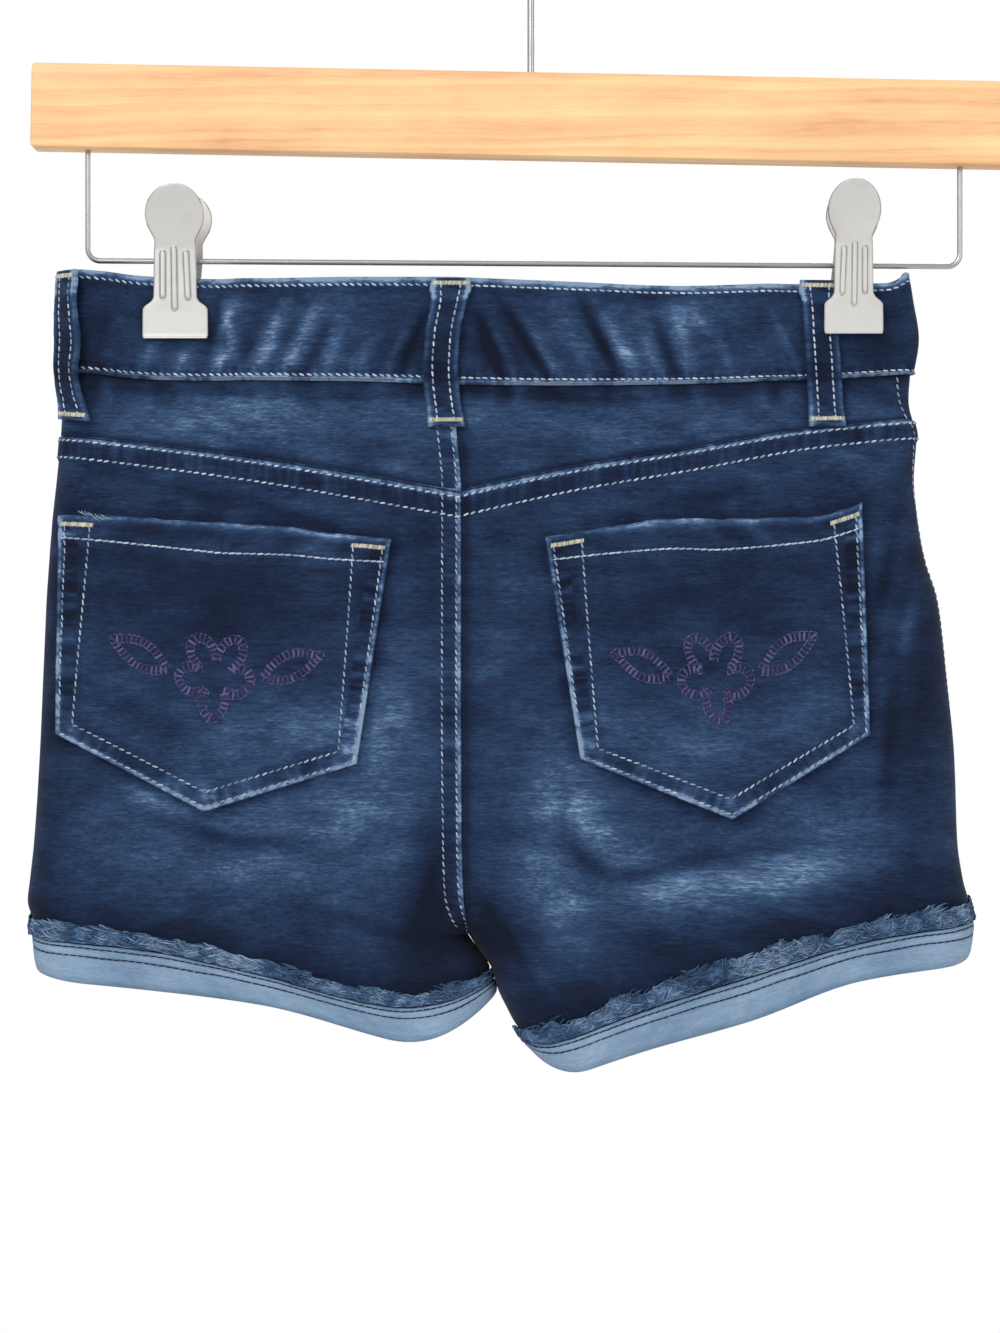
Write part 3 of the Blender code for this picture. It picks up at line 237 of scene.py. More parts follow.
# Faded patches (height above 0) and darker places (below 0); most darker ones are painted shade: beside the
# belt loops, under the pockets, in the waistband's troughs, round the crotch and along the side folds
FADES_AND_SHADE = table(
    SOFT,
    [
        (0, -82, 356, -6, 48, 20, 0.26), (0, -134, 352, -10, 28, 18, 0.12),
        (0, -108.7, 353.5, -10, 26, 3.6, -0.17), (0, -134, 342.5, -27, 13, 2.2, 0.15),
        (0, -150, 362, -12, 20, 8, 0.12), (0, -104, 366, -6, 26, 7, 0.09), (0, -66, 350, 60, 12, 5, 0.12),
        (0, -57, 322, 84, 30, 13, 0.26), (0, -88, 318, 8, 34, 13, 0.2), (0, -40, 344, 82, 24, 9, 0.12),
        (0, 19.5, 350, -44, 25, 11, 0.33), (0, 50, 371, 10, 52, 20, 0.1), (0, 44, 376, 34, 26, 8, 0.18),
        (0, 96, 366, 24, 26, 10, 0.12), (0, 2, 366, 60, 14, 8, 0.18), (0, 8, 390, 86, 24, 9, 0.2),
        (0, 30, 386, 20, 14, 8, -0.1), (0, 6, 338, 70, 26, 12, 0.16), (0, 54, 321, -6, 38, 14, 0.2),
        (0, 106, 315, 30, 16, 12, 0.1), (0, 88, 367, 10, 34, 12, 0.24), (0, 112, 351, 10, 26, 13, 0.17),
        (0, -47, 305, 88, 36, 9, 0.08), (0, -9, 300, 88, 40, 9, -0.07), (0, 14, 382, -50, 20, 14, 0.14),
        (0, -11, 282, 88, 34, 7, 0.1), (0, -106, 205, 4, 36, 8, 0.21), (0, 20, 207, -4, 60, 8, 0.14),
        (0, 66, 202, -4, 30, 7, 0.1), (0, -36, 370, 86, 28, 9, -0.34), (0, -22, 392, 0, 26, 13, -0.34),
        (0, 2, 404, -50, 26, 12, -0.16), (0, 138, 300, 84, 80, 13, -0.2), (0, -172, 320, 90, 80, 7, -0.16),
        (0, 62, 232, 6, 62, 7, 0.04), (0, -110, 233, -6, 60, 7, 0.04), (0, -38, 258, 84, 26, 10, -0.1),
        (0, -110, 268, -4, 44, 16, -0.12), (0, 60, 266, 4, 46, 14, -0.06), (0, -118, 184, 0, 30, 5, 0.06),
        (0, -111, 172.5, 71, 11, 2.6, 0.2), (0, -92.7, 174, 63, 10, 3.2, 0.2),
        (0, -80.6, 173.5, 62, 10, 3, 0.18), (0, -71.3, 177, 74, 8, 3, 0.14),
        (0, -76, 165.6, 0, 9, 3.4, 0.12), (0, -107, 168.5, 20, 7, 4, 0.12), (0, -101, 175, 63, 9, 2, -0.14),
        (0, -86.5, 176, 62, 9, 1.8, -0.12), (0, -151.7, 176, 60, 12, 3, 0.12),
        (0, -80, 174, 8, 26, 9, 0.08), (0, -80, 184, 0, 26, 6, 0.1), (0, 34, 176, 0, 44, 12, 0.12),
        (0, 39.6, 168.6, -8, 15, 4, 0.12), (0, 57.1, 168, 80, 7, 5, 0.12),
        (0, 40.5, 181.8, -12, 10, 4.5, 0.12), (0, 72, 168.6, 0, 6, 5, 0.1), (0, 22, 175, -64, 11, 3, -0.12),
        (0, -155.5, 182, 84, 22, 4.5, -0.3), (0, -12, 178, 0, 12, 16, -0.2), (0, -43, 178, 0, 8, 14, -0.12),
        (0, 127, 178, 0, 14, 18, -0.2), (0, -158, 176, 0, 12, 18, -0.1), (1, -92, 300, 84, 62, 26, 0.34),
        (1, 70, 300, -84, 62, 26, 0.34), (1, -86, 350, 4, 46, 18, 0.16), (1, 64, 352, -4, 46, 18, 0.16),
        (1, -22, 330, 60, 40, 12, -0.24), (1, 4, 330, -60, 40, 12, -0.24), (1, -90, 206, 0, 40, 8, 0.12),
        (1, 70, 206, 0, 40, 8, 0.12), (1, -80, 182, 0, 40, 7, 0.14), (1, 60, 182, 0, 40, 7, 0.14),
        (1, -168, 320, 90, 80, 8, -0.16), (1, 140, 310, 90, 80, 10, -0.18),
    ],
)

# Corners of the back pockets: inner top, outer top, outer foot, point and inner foot
POCKETS = {
    "left": table(
        "corner x down",
        [(0, -49.7, 248.4), (1, -167.3, 239.7), (2, -168.0, 317.7), (3, -115.9, 345.1), (4, -61.8, 328.1)],
    ),
    "right": table(
        "corner x down",
        [(0, 4.8, 247.8), (1, 117.4, 235.6), (2, 119.8, 317.9), (3, 70.9, 347.9), (4, 17.2, 326.4)],
    ),
}
# How the pockets' open tops wave up from their inner to their outer corners
TOP_WAVE = {
    "left": table("share rise", [(0, 0), (0.17, 0.4), (0.31, 1.4), (0.5, 1.1), (0.82, 0.7), (1, 0)]),
    "right": table(
        "share rise",
        [(0, 0), (0.18, 1.2), (0.36, 1.7), (0.6, -1.0), (0.74, -2.3), (0.86, -2.9), (0.95, -1.4), (1, 0)],
    ),
}
WAVE_DEPTH = 0.4
POCKET_WIDE, POCKET_TALL = 114.0, 92.0
# Length of the surface for each 1 of v: along a panel, and close under the yoke seam
PANEL_MM, YOKE_MM = 290.0, 272.0
LIFT_POWER = 2.2
DIP_FADE = 0.5  # rows over which the front's dip fades out
QUARTERS = np.linspace(0, 1, 5)
# Level of the jaws, how far below it their press and the calm they bring to the folds fade out, and the
# share of its distance at which a place is as calm as another is pressed
JAW_DOWN, PRESS_FADE, CALM_FADE, CALM_SHARE = 177.0, 46.0, 20.0, 0.8
PROBE = 0.4  # step for the slope of the back's surface
FOLD_MIX = 8  # how far each way from a side fold the back's and front's creases mix
SAMPLES = 361  # points on each face of a row
ROW_CACHE = {}


def smooth(at, xs, ys):
    """Monotone cubic through a table's points."""
    at = np.clip(np.asarray(at, float), xs[0], xs[-1])
    step = np.diff(xs)
    slope = np.diff(ys) / step
    both = slope[:-1] * slope[1:]
    tangent = np.empty(len(xs))
    tangent[0] = slope[0]
    tangent[-1] = slope[-1]
    total = np.where(both > 0, slope[:-1] + slope[1:], 1.0)
    tangent[1:-1] = np.where(both > 0, 2 * both / total, 0.0)
    k = np.clip(np.searchsorted(xs, at, side="right") - 1, 0, len(xs) - 2)
    t = (at - xs[k]) / step[k]
    a = (1 + 2 * t) * (1 - t) ** 2 * ys[k] + t * (1 - t) ** 2 * step[k] * tangent[k]
    b = t * t * (3 - 2 * t) * ys[k + 1] + t * t * (t - 1) * step[k] * tangent[k + 1]
    return a + b


def read(rows, at, name):
    """A column of a table, smoothed over its first column."""
    return smooth(at, next(iter(rows.values())), rows[name])


def ease(t):
    t = np.clip(t, 0.0, 1.0)
    return t * t * (3 - 2 * t)


def bell(away, reach, power=2):
    """1 where away is 0, falling off past the reach."""
    return np.exp(-((away / reach) ** power))


def between(at, low, high, blur):
    """1 from low to high, falling to 0 over blur outside them."""
    return ease((at - low) / blur + 1) * ease((high - at) / blur + 1)


def wander(at, period, seed):
    """Smooth random values from -1 to 1, a new one each period."""
    marks = np.random.default_rng(seed).uniform(-1, 1, 512)
    at = np.asarray(at) / period + 200
    k = np.floor(at).astype(int)
    t = ease(at - k)
    return marks[k % 512] * (1 - t) + marks[(k + 1) % 512] * t


def unit(vectors):
    return vectors / np.maximum(np.linalg.norm(vectors, axis=-1, keepdims=True), 1e-9)


def arc_lengths(line):
    return np.concatenate([[0], np.cumsum(np.linalg.norm(np.diff(line, axis=0), axis=1))])


def rounded(share):
    left = 1 - np.clip(share, 0.0, 1.0)
    return (1 - left**FOLD_POWER) ** (1 / FOLD_POWER)


def level(name, z):
    return read(LEVELS, -z, name)


def drape(z):
    share = np.clip((CURVE_TOP_Z - z) / (CURVE_TOP_Z - CROTCH_Z), 0.0, 1.0)
    return np.sqrt(1 - share**2)


def inner_line(half, front, z):
    above = read(CENTRE_FRONT if front else CENTRE_BACK, -z, "x")
    return np.where(z > CROTCH_Z, above, read(INNER_FOLD[half], -z, "x"))


def way_of(half):
    return 1 if half == "left" else -1


def bumps(what, front, x, z):
    """Sum of a table's soft ridges, troughs or patches at (x, z)."""
    total = np.zeros(np.shape(x))
    for k in np.flatnonzero(what["front"] == front):
        turn = math.radians(what["slope"][k])
        dx = x - what["x"][k]
        dz = z + what["down"][k]
        along = (dx * math.cos(turn) + dz * math.sin(turn)) / what["half_length"][k]
        across = (dz * math.cos(turn) - dx * math.sin(turn)) / what["half_width"][k]
        total += what["height"][k] * np.exp(-(along**2) - across**2)
    return total


def clip_press(x, z):
    """How flat the clips press the waistband, and how far its folds are free of them."""
    press = np.zeros(np.shape(x))
    calm = np.ones(np.shape(x))
    for clip, left, right in zip(*CLIPS.values()):
        away = np.where(x < clip, (clip - x) / left, (x - clip) / right)
        press = 1 - (1 - press) * (1 - bell(away, 1, 6) * (1 - ease((-z - JAW_DOWN) / PRESS_FADE)))
        calm = calm * (1 - bell(away * CALM_SHARE, 1, 6) * (1 - ease((-z - JAW_DOWN) / CALM_FADE)))
    return press, calm


def half_depth(half, front, x, z):
    """How far the surface stands from the plane y = 0."""
    way = way_of(half)
    side = rounded((x - level(half + "_fold", z)) * way / level("side_round", z))
    hang = drape(z)
    inner = (inner_line(half, front, z) - x) * way
    core = hang + (1 - hang) * rounded(inner / INNER_ROUND[half])
    press, calm = clip_press(x, z)
    deep = level("half_depth", z)
    deep = deep - press * (deep - PINCHED)
    return (deep + bumps(FOLDS, front, x, z) * calm) * side * core


def profile(half, front, v, t):
    """Heights along a row, from the inner line (t = 0) to the side fold (t = 1)."""
    rows = ROWS[half]
    quarters = [read(rows, v, name) for name in ("inner", "quarter", "half", "three_quarter", "side")]
    if V_CURVE <= v <= V_CROTCH:
        turn = (v - V_CURVE) / (V_CROTCH - V_CURVE) * math.pi / 2
        quarters[0] = -CURVE_TOP_Z + (CURVE_TOP_Z - CROTCH_Z) * math.sin(turn)
    z = -smooth(t, QUARTERS, np.array(quarters, float))
    inner_reach, side_reach = LIFT_REACH[half]
    z += read(rows, v, "inner_lift") * np.clip(1 - t / inner_reach, 0, 1) ** LIFT_POWER
    z += read(rows, v, "side_lift") * np.clip(1 - (1 - t) / side_reach, 0, 1) ** LIFT_POWER
    if front:
        z -= FRONT_DIP * (1 - ease((v - V_WAIST) / DIP_FADE)) * (1 - t) ** 2
    return z


def row(half, v):
    """Arc lengths, points and the arc at the side fold of one row."""
    key = (half, round(float(v), 6))
    if key not in ROW_CACHE:
        t = (1 - np.cos(np.pi * np.linspace(0, 1, SAMPLES))) / 2
        faces = []
        for front in (0, 1):
            z = profile(half, front, key[1], t)
            start = inner_line(half, front, z[:1])[0]
            end = level(half + "_fold", z[-1:])[0]
            x = start + (end - start) * t
            y = half_depth(half, front, x, z) * (1 if front else -1)
            faces.append(np.stack([x, y, z], 1))
        points = np.concatenate([faces[0], faces[1][::-1][1:]])
        arc = arc_lengths(points)
        ROW_CACHE[key] = (arc, points, arc[SAMPLES - 1])
    return ROW_CACHE[key]


def fold_arc(half, v):
    return row(half, v)[2]


def seam_arc(half, v):
    return fold_arc(half, v) + read(SIDE_SEAM[half], v, "past_fold")


def full_arc(half, v):
    return row(half, v)[0][-1]


def column(arc_of, half, v):
    """An arc of each row, as a column."""
    return np.array([arc_of(half, one) for one in v])[:, None]


def on_rows(half, v, s):
    """Points of the bare surface: a row of arcs s for each v."""
    out = np.empty(s.shape + (3,))
    for k, one in enumerate(v):
        arc, points, _ = row(half, one)
        for axis in range(3):
            out[k, :, axis] = np.interp(s[k], arc, points[:, axis])
    return out


def grid_normals(points, way):
    return unit(np.cross(np.gradient(points, axis=1), np.gradient(points, axis=0)) * way)


def back_surface(x, z):
    """Points and normals of the back's bare surface at (x, z)."""

    def y(x, z):
        left = x < inner_line("left", 0, z)
        return -np.where(left, half_depth("left", 0, x, z), half_depth("right", 0, x, z))

    slope_x = (y(x + PROBE, z) - y(x - PROBE, z)) / (2 * PROBE)
    slope_z = (y(x, z + PROBE) - y(x, z - PROBE)) / (2 * PROBE)
    normal = np.stack([slope_x, -np.ones(x.shape), slope_z], -1)
    return np.stack([x, y(x, z), z], -1), unit(normal)


def both_sides(what, half, v, s, x, z):
    """A table's sum on the back and the front, mixed over the side fold."""
    share = ease((s - column(fold_arc, half, v) + FOLD_MIX) / (2 * FOLD_MIX))
    return bumps(what, 0, x, z) * (1 - share) + bumps(what, 1, x, z) * share


def top_wave(half, p, q):
    """How far a pocket's open top waves up at p across it and q down."""
    return read(TOP_WAVE[half], p, "rise") * (1 - ease(np.abs(q) / WAVE_DEPTH))


def to_outline(half, x, z):
    """Distance inside the outline of a pocket (negative outside), along it, and its side."""
    px, pz = POCKETS[half]["x"], -POCKETS[half]["down"]
    across = np.clip((x - px[0]) / (px[1] - px[0]), 0, 1)
    straight = pz[0] + (pz[1] - pz[0]) * across
    z = z - top_wave(half, across, (straight - z) / POCKET_TALL)
    best = np.full(x.shape, np.inf)
    along = np.zeros(x.shape)
    side = np.zeros(x.shape)
    inside = np.full(x.shape, np.inf)
    turn = np.sign(px[1] - px[0])
    start = 0.0
    for k, (ax, az, bx, bz) in enumerate(zip(px, pz, np.roll(px, -1), np.roll(pz, -1))):
        long = math.hypot(bx - ax, bz - az)
        ux, uz = (bx - ax) / long, (bz - az) / long
        t = (x - ax) * ux + (z - az) * uz
        held = np.clip(t, 0, long)
        away = np.hypot(x - ax - ux * held, z - az - uz * held)
        depth = ((x - ax) * uz - (z - az) * ux) * turn
        inside = np.minimum(inside, depth)
        nearer = away < best
        best = np.where(nearer, away, best)
        along = np.where(nearer, start + t, along)
        side = np.where(nearer, k, side)
        start += long
    return np.where(inside > 0, best, -best), along, side


# ---- meshes

RIM_TURNS = np.radians([36.0, 90.0, 144.0])  # where the rings of a rounded border lie
THIN_RIM = 0.35


def add_piece(
    name, points, faces, materials, node=None, index=None, marks=None, uv=None, seam=None
):
    """One mesh in metres, with its marks as attributes, riding on the body and in place of its node."""
    mesh = bpy.data.meshes.new(name)
    mesh.from_pydata((points * MM).tolist(), [], [list(face) for face in faces])
    for made in materials:
        mesh.materials.append(made)
    if index is not None:
        mesh.polygons.foreach_set("material_index", index)
    for mark, values in (marks or {}).items():
        mesh.attributes.new(mark, "FLOAT", "POINT").data.foreach_set("value", values.astype(np.float32))
    if seam is not None:
        stored = mesh.attributes.new("seam", "FLOAT_VECTOR", "POINT")
        stored.data.foreach_set("vector", (seam * MM).astype(np.float32).ravel())
    if uv is not None:
        corner = np.empty(len(mesh.loops), np.int32)
        mesh.loops.foreach_get("vertex_index", corner)
        layer = mesh.uv_layers.new(name="UVMap")
        layer.data.foreach_set("uv", (uv * MM)[corner].astype(np.float32).ravel())
    mesh.shade_smooth()
    mesh.update()
    obj = bpy.data.objects.new(name, mesh)
    bpy.context.scene.collection.objects.link(obj)
    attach(obj, "root")
    if node:
        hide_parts(node)
    return obj


def draw_in(points, by):
    """Draws a grid's border in by this length."""
    points = points.copy()

    def draw(edge, inner):
        return edge + unit(inner - edge) * by

    points[0] = draw(points[0], points[1])
    points[-1] = draw(points[-1], points[-2])
    points[:, 0] = draw(points[:, 0], points[:, 1])
    points[:, -1] = draw(points[:, -1], points[:, -2])
    return points


def seam_gap(outer, inner):
    """Both faces of a cloth, drawn in to leave the gap of its seams."""
    both = draw_in(np.concatenate([outer, inner], -1), SEAM_HALF)
    return both[..., :3], both[..., 3:]


def shell(name, outer, inner, materials, slot, node, marks, uv, rim, seam=None):
    """Cloth with a rounded border: outer and inner faces from two grids."""
    rows, columns = outer.shape[:2]
    count = rows * columns
    number = np.arange(count).reshape(rows, columns)
    loop = np.concatenate([number[0, :-1], number[:-1, -1], number[-1, :0:-1], number[:0:-1, 0]])
    edge = (outer.reshape(-1, 3)[loop] + inner.reshape(-1, 3)[loop]) / 2
    outer, inner = draw_in(outer, rim), draw_in(inner, rim)
    a, b = outer.reshape(-1, 3)[loop], inner.reshape(-1, 3)[loop]
    middle = (a + b) / 2
    rings = [middle + (a - middle) * math.cos(t) + (edge - middle) * math.sin(t) for t in RIM_TURNS]
    points = np.concatenate([outer.reshape(-1, 3), inner.reshape(-1, 3), *rings])
    quads = np.stack([number[:-1, :-1], number[:-1, 1:], number[1:, 1:], number[1:, :-1]], -1)
    quads = quads.reshape(-1, 4)
    new_loops = [2 * count + k * len(loop) + np.arange(len(loop)) for k in range(len(rings))]
    lines = [loop, *new_loops, count + loop]
    border = []
    for here, there in zip(lines[:-1], lines[1:]):
        border.append(np.stack([np.roll(here, -1), here, there, np.roll(there, -1)], -1))
    border = np.concatenate(border)
    faces = np.concatenate([quads, border, quads[:, ::-1] + count])
    i, j = rows // 2, columns // 2
    normal = np.cross(outer[i, j] - outer[i, j - 1], outer[i - 1, j] - outer[i, j])
    if np.dot(normal, outer[i, j] - inner[i, j]) > 0:
        faces = faces[:, ::-1]
    index = np.zeros(len(faces), np.int32)
    index[len(quads) + len(border):] = len(materials) - 1

    def spread(values):
        flat = values.reshape(count, -1)
        return np.concatenate([flat, flat] + [flat[loop]] * len(rings))

    marks = {mark: spread(values)[:, 0] for mark, values in marks.items()}
    seam = None if seam is None else spread(seam)
    return add_piece(name, points, faces, materials, node, index, marks, spread(uv), seam)


def tubes(line, beside, above, thick, sides, first=0):
    """Round tubes along many lines, closed at both ends; their points are numbered from first."""
    turns = np.arange(sides) * 2 * math.pi / sides
    around = beside[:, :, None] * np.cos(turns)[:, None] + above[:, :, None] * np.sin(turns)[:, None]
    points = line[:, :, None] + around * thick[..., None, None]
    number = first + np.arange(points[..., 0].size).reshape(points.shape[:3])
    after = np.roll(number, -1, 2)
    walls = np.stack([number[:, :-1], after[:, :-1], after[:, 1:], number[:, 1:]], -1).reshape(-1, 4)
    faces = walls.tolist() + number[:, 0, ::-1].tolist() + number[:, -1].tolist()
    return points.reshape(-1, 3), faces


def closed_strip(rings, flip):
    """Faces of a tube whose section runs down the rows, with its two ends."""
    rows, columns = rings.shape[:2]
    number = np.arange(rows * columns).reshape(rows, columns)
    after = np.roll(number, -1, 0)
    faces = np.stack([number[:, :-1], number[:, 1:], after[:, 1:], after[:, :-1]], -1).reshape(-1, 4)
    faces = faces.tolist() + [number[:, 0].tolist(), number[::-1, -1].tolist()]
    return [face[::-1] for face in faces] if flip else faces


class Sheet:
    """The outer face of a piece, where what is sewn on it finds its points again."""

    def __init__(self, rows, points, way):
        self.rows = np.asarray(rows)
        self.points = points
        self.normals = grid_normals(points, way)

    def at(self, row, share):
        row, share = np.broadcast_arrays(np.asarray(row, float), np.asarray(share, float))
        r = np.interp(row, self.rows, np.arange(len(self.rows)))
        c = np.clip(share, 0, 1) * (self.points.shape[1] - 1)
        i = np.clip(np.floor(r).astype(int), 0, len(self.rows) - 2)
        j = np.clip(np.floor(c).astype(int), 0, self.points.shape[1] - 2)
        fr, fc = (r - i)[..., None], (c - j)[..., None]
        found = []
        for grid in (self.points, self.normals):
            top = grid[i, j] * (1 - fc) + grid[i, j + 1] * fc
            low = grid[i + 1, j] * (1 - fc) + grid[i + 1, j + 1] * fc
            found.append(top * (1 - fr) + low * fr)
        return found[0], unit(found[1])


# ---- materials


def put(tree, kind, inputs=None, **settings):
    """A new node with its settings, and its inputs set or linked."""
    made = tree.nodes.new(kind)
    for name, value in settings.items():
        setattr(made, name, value)
    for name, value in (inputs or {}).items():
        if isinstance(value, bpy.types.NodeSocket):
            tree.links.new(value, made.inputs[name])
        else:
            made.inputs[name].default_value = value
    return made


def calc(tree, operation, a, b=0.0, c=0.0):
    return put(tree, "ShaderNodeMath", {0: a, 1: b, 2: c}, operation=operation).outputs[0]


def times(tree, a, b, plus=None):
    """a x b, or a x b + plus."""
    return calc(tree, "MULTIPLY", a, b) if plus is None else calc(tree, "MULTIPLY_ADD", a, b, plus)


def vector_calc(tree, operation, **inputs):
    places = {"a": 0, "b": 1, "scale": "Scale"}
    inputs = {places[name]: value for name, value in inputs.items()}
    return put(tree, "ShaderNodeVectorMath", inputs, operation=operation).outputs[0]


def attribute(tree, name, output="Fac"):
    return put(tree, "ShaderNodeAttribute", attribute_name=name).outputs[output]


def stretched_noise(tree, vector, scale, detail=2.0, roughness=0.5):
    """Noise about 0, from -0.5 to 0.5, stretched by scale along each axis."""
    placed = vector_calc(tree, "MULTIPLY", a=vector, b=scale)
    inputs = {"Vector": placed, "Scale": 1.0, "Detail": detail, "Roughness": roughness}
    return calc(tree, "SUBTRACT", put(tree, "ShaderNodeTexNoise", inputs).outputs[0], 0.5)


def linear(*srgb):
    """A colour given as 0 to 255 on a screen, as linear light."""
    share = [value / 255 for value in srgb]
    return tuple(v / 12.92 if v <= 0.04045 else ((v + 0.055) / 1.055) ** 2.4 for v in share) + (1.0,)


def paint(tree, shader, share, *stops):
    """The base colour from share, through stops of (share, colour)."""
    made = put(tree, "ShaderNodeValToRGB", {"Fac": share})
    elements = made.color_ramp.elements
    while len(elements) < len(stops):
        elements.new(0.5)
    for element, (place, colour) in zip(elements, stops):
        element.position = place
        element.color = colour
    tree.links.new(made.outputs["Color"], shader.inputs["Base Color"])


def relief(tree, shader, height, strength, distance):
    bump = put(tree, "ShaderNodeBump", {"Height": height, "Strength": strength, "Distance": distance})
    tree.links.new(bump.outputs[0], shader.inputs["Normal"])


def new_material(name, **sockets):
    made = bpy.data.materials.new(name)
    made.use_nodes = True
    shader = made.node_tree.nodes["Principled BSDF"]
    for socket, value in sockets.items():
        shader.inputs[socket.replace("_", " ")].default_value = value
    return made, made.node_tree, shader


DENIM_STOPS = [
    (0.00, linear(14, 22, 42)),
    (0.22, linear(22, 35, 61)),
    (0.45, linear(34, 54, 85)),
    (0.68, linear(53, 78, 112)),
    (0.86, linear(85, 111, 147)),
    (1.00, linear(132, 155, 184)),
]
REVERSE_STOPS = [
    (0.00, linear(52, 74, 100)),
    (0.35, linear(88, 112, 140)),
    (0.62, linear(116, 142, 170)),
    (1.00, linear(158, 182, 206)),
]
TWILL_SLOPE = math.radians(-52)
EDGE_AT, EDGE_REACH = 0.7, 1.25  # millimetres inside a seam's edge where it is palest
ROPES_FROM, ROPES_TO, ROPES_BLUR = 1.0, 7.2, 1.0  # where the rungs along a seam lie inside its edge


def span_of(tree, value, low, high):
    """0 below low, 1 above high, smooth between them."""
    limits = {"Value": value, "From Min": low, "From Max": high}
    return put(tree, "ShaderNodeMapRange", limits, interpolation_type="SMOOTHSTEP").outputs[0]


def peak(tree, value, centre, reach):
    """1 at the centre, falling off smoothly past the reach."""
    away = times(tree, value, 1 / reach, -centre / reach)
    return calc(tree, "EXPONENT", times(tree, times(tree, away, away), -1.0))


def cloth_material(name, stops, contrast, bump):
    """Twill worn by its marks, which also carry painted shade, with slubs and yarns across it, pale seam
    edges and roped seams.
    """
    sockets = dict(Roughness=0.9, Sheen_Weight=0.05, Sheen_Roughness=0.5, Specular_IOR_Level=0.14)
    made, tree, shader = new_material(name, **sockets)
    uv = put(tree, "ShaderNodeUVMap", uv_map="UVMap").outputs["UV"]
    # the wear mark holds the cloth's fading and wear, and painted shade and light too
    wear, seam = attribute(tree, "wear"), attribute(tree, "seam", "Vector")
    in_mm = vector_calc(tree, "SCALE", a=seam, scale=1 / MM)
    _, from_edge, strength = put(tree, "ShaderNodeSeparateXYZ", {0: in_mm}).outputs
    slubs = stretched_noise(tree, uv, (105, 760, 1), 3.0, 0.6)
    yarns = stretched_noise(tree, uv, (340, 1750, 1), 2.0, 0.6)
    blotch = stretched_noise(tree, uv, (34, 66, 1), 4.0, 0.62)
    turn = {"Vector": uv, "Angle": TWILL_SLOPE}
    turned = put(tree, "ShaderNodeVectorRotate", turn, rotation_type="Z_AXIS").outputs[0]
    flecks = stretched_noise(tree, turned, (1500, 260, 1), 1.0)
    ladder = stretched_noise(tree, seam, (380, 60, 1), 1.0)

    rough = times(tree, yarns, 1.15, times(tree, slubs, 0.95))
    rough = times(tree, flecks, 0.3, rough)
    gain = times(tree, wear, 0.45 * contrast, 0.28 * contrast)
    share = times(tree, rough, gain, wear)
    share = times(tree, blotch, 0.85 * contrast, share)
    pale = times(tree, blotch, 1.3, times(tree, ladder, 1.2, 0.6))
    worn_edge = times(tree, peak(tree, from_edge, EDGE_AT, EDGE_REACH), strength)
    share = times(tree, worn_edge, pale, share)
    from_outside = span_of(tree, from_edge, ROPES_FROM, ROPES_FROM + ROPES_BLUR)
    band = times(tree, from_outside, span_of(tree, from_edge, ROPES_TO, ROPES_TO - ROPES_BLUR))
    band = times(tree, band, calc(tree, "POWER", strength, 4.0))
    share = times(tree, band, times(tree, ladder, 1.5, -0.07), share)
    paint(tree, shader, share, *stops)

    height = times(tree, flecks, 0.4, times(tree, yarns, 0.7))
    height = times(tree, slubs, 0.5, height)
    height = times(tree, times(tree, band, ladder), 3.0, height)
    relief(tree, shader, height, 0.6, bump)
    return made


def thread_material(name, dark, middle, light, shine=0.3):
    """Thread: each stitch or strand a little lighter or darker."""
    made, tree, shader = new_material(name, Roughness=0.75, Specular_IOR_Level=shine)
    stops = [(share, linear(*colour)) for share, colour in ((0.0, dark), (0.5, middle), (1.0, light))]
    paint(tree, shader, attribute(tree, "tone"), *stops)
    return made


def metal_material(name, colour, metallic, rough, scratch):
    """Plated steel with fine brushing, darker with painted shade where it is pressed in."""
    made, tree, shader = new_material(name, Metallic=metallic)
    place = put(tree, "ShaderNodeTexCoord").outputs["Object"]
    brushed = stretched_noise(tree, place, (2600, 900, 160), 2.0)
    cloudy = stretched_noise(tree, place, (90, 90, 60), 3.0)
    # cloudy tone, with the painted shade mark on top
    cloud_and_shade = times(tree, cloudy, 0.6, attribute(tree, "shade"))
    dark = tuple(0.3 * value for value in colour[:3]) + (1.0,)
    paint(tree, shader, cloud_and_shade, (0.0, colour), (1.0, dark))
    mixed = times(tree, cloudy, 0.22, times(tree, brushed, 0.12))
    tree.links.new(calc(tree, "ADD", mixed, rough), shader.inputs["Roughness"])
    relief(tree, shader, brushed, scratch, 0.00004)
    return made


def wood_material():
    """Pale varnished wood: its grain along the bar, with warmer patches and short dark flecks."""
    made, tree, shader = new_material("hanger_wood", Roughness=0.5, Coat_Weight=0.12, Coat_Roughness=0.3)
    place = put(tree, "ShaderNodeTexCoord").outputs["Object"]
    warp = stretched_noise(tree, place, (9, 30, 34), 2.0)
    rise = put(tree, "ShaderNodeCombineXYZ", {2: times(tree, warp, 0.011)}).outputs[0]
    moved = vector_calc(tree, "ADD", a=place, b=rise)
    rings = stretched_noise(tree, moved, (3.0, 120, 260), 2.0, 0.55)
    pores = stretched_noise(tree, place, (120, 900, 2600), 1.0)
    cloud = stretched_noise(tree, place, (22, 40, 60), 3.0, 0.6)
    share = times(tree, rings, 1.25, 0.54)
    share = times(tree, pores, 0.35, share)
    share = times(tree, cloud, 0.8, share)
    stops = [
        (0.0, linear(214, 150, 92)),
        (0.3, linear(244, 186, 134)),
        (0.55, linear(251, 204, 148)),
        (0.8, linear(254, 218, 160)),
        (1.0, linear(255, 230, 182)),
    ]
    paint(tree, shader, share, *stops)
    relief(tree, shader, pores, 0.25, 0.0001)
    return made


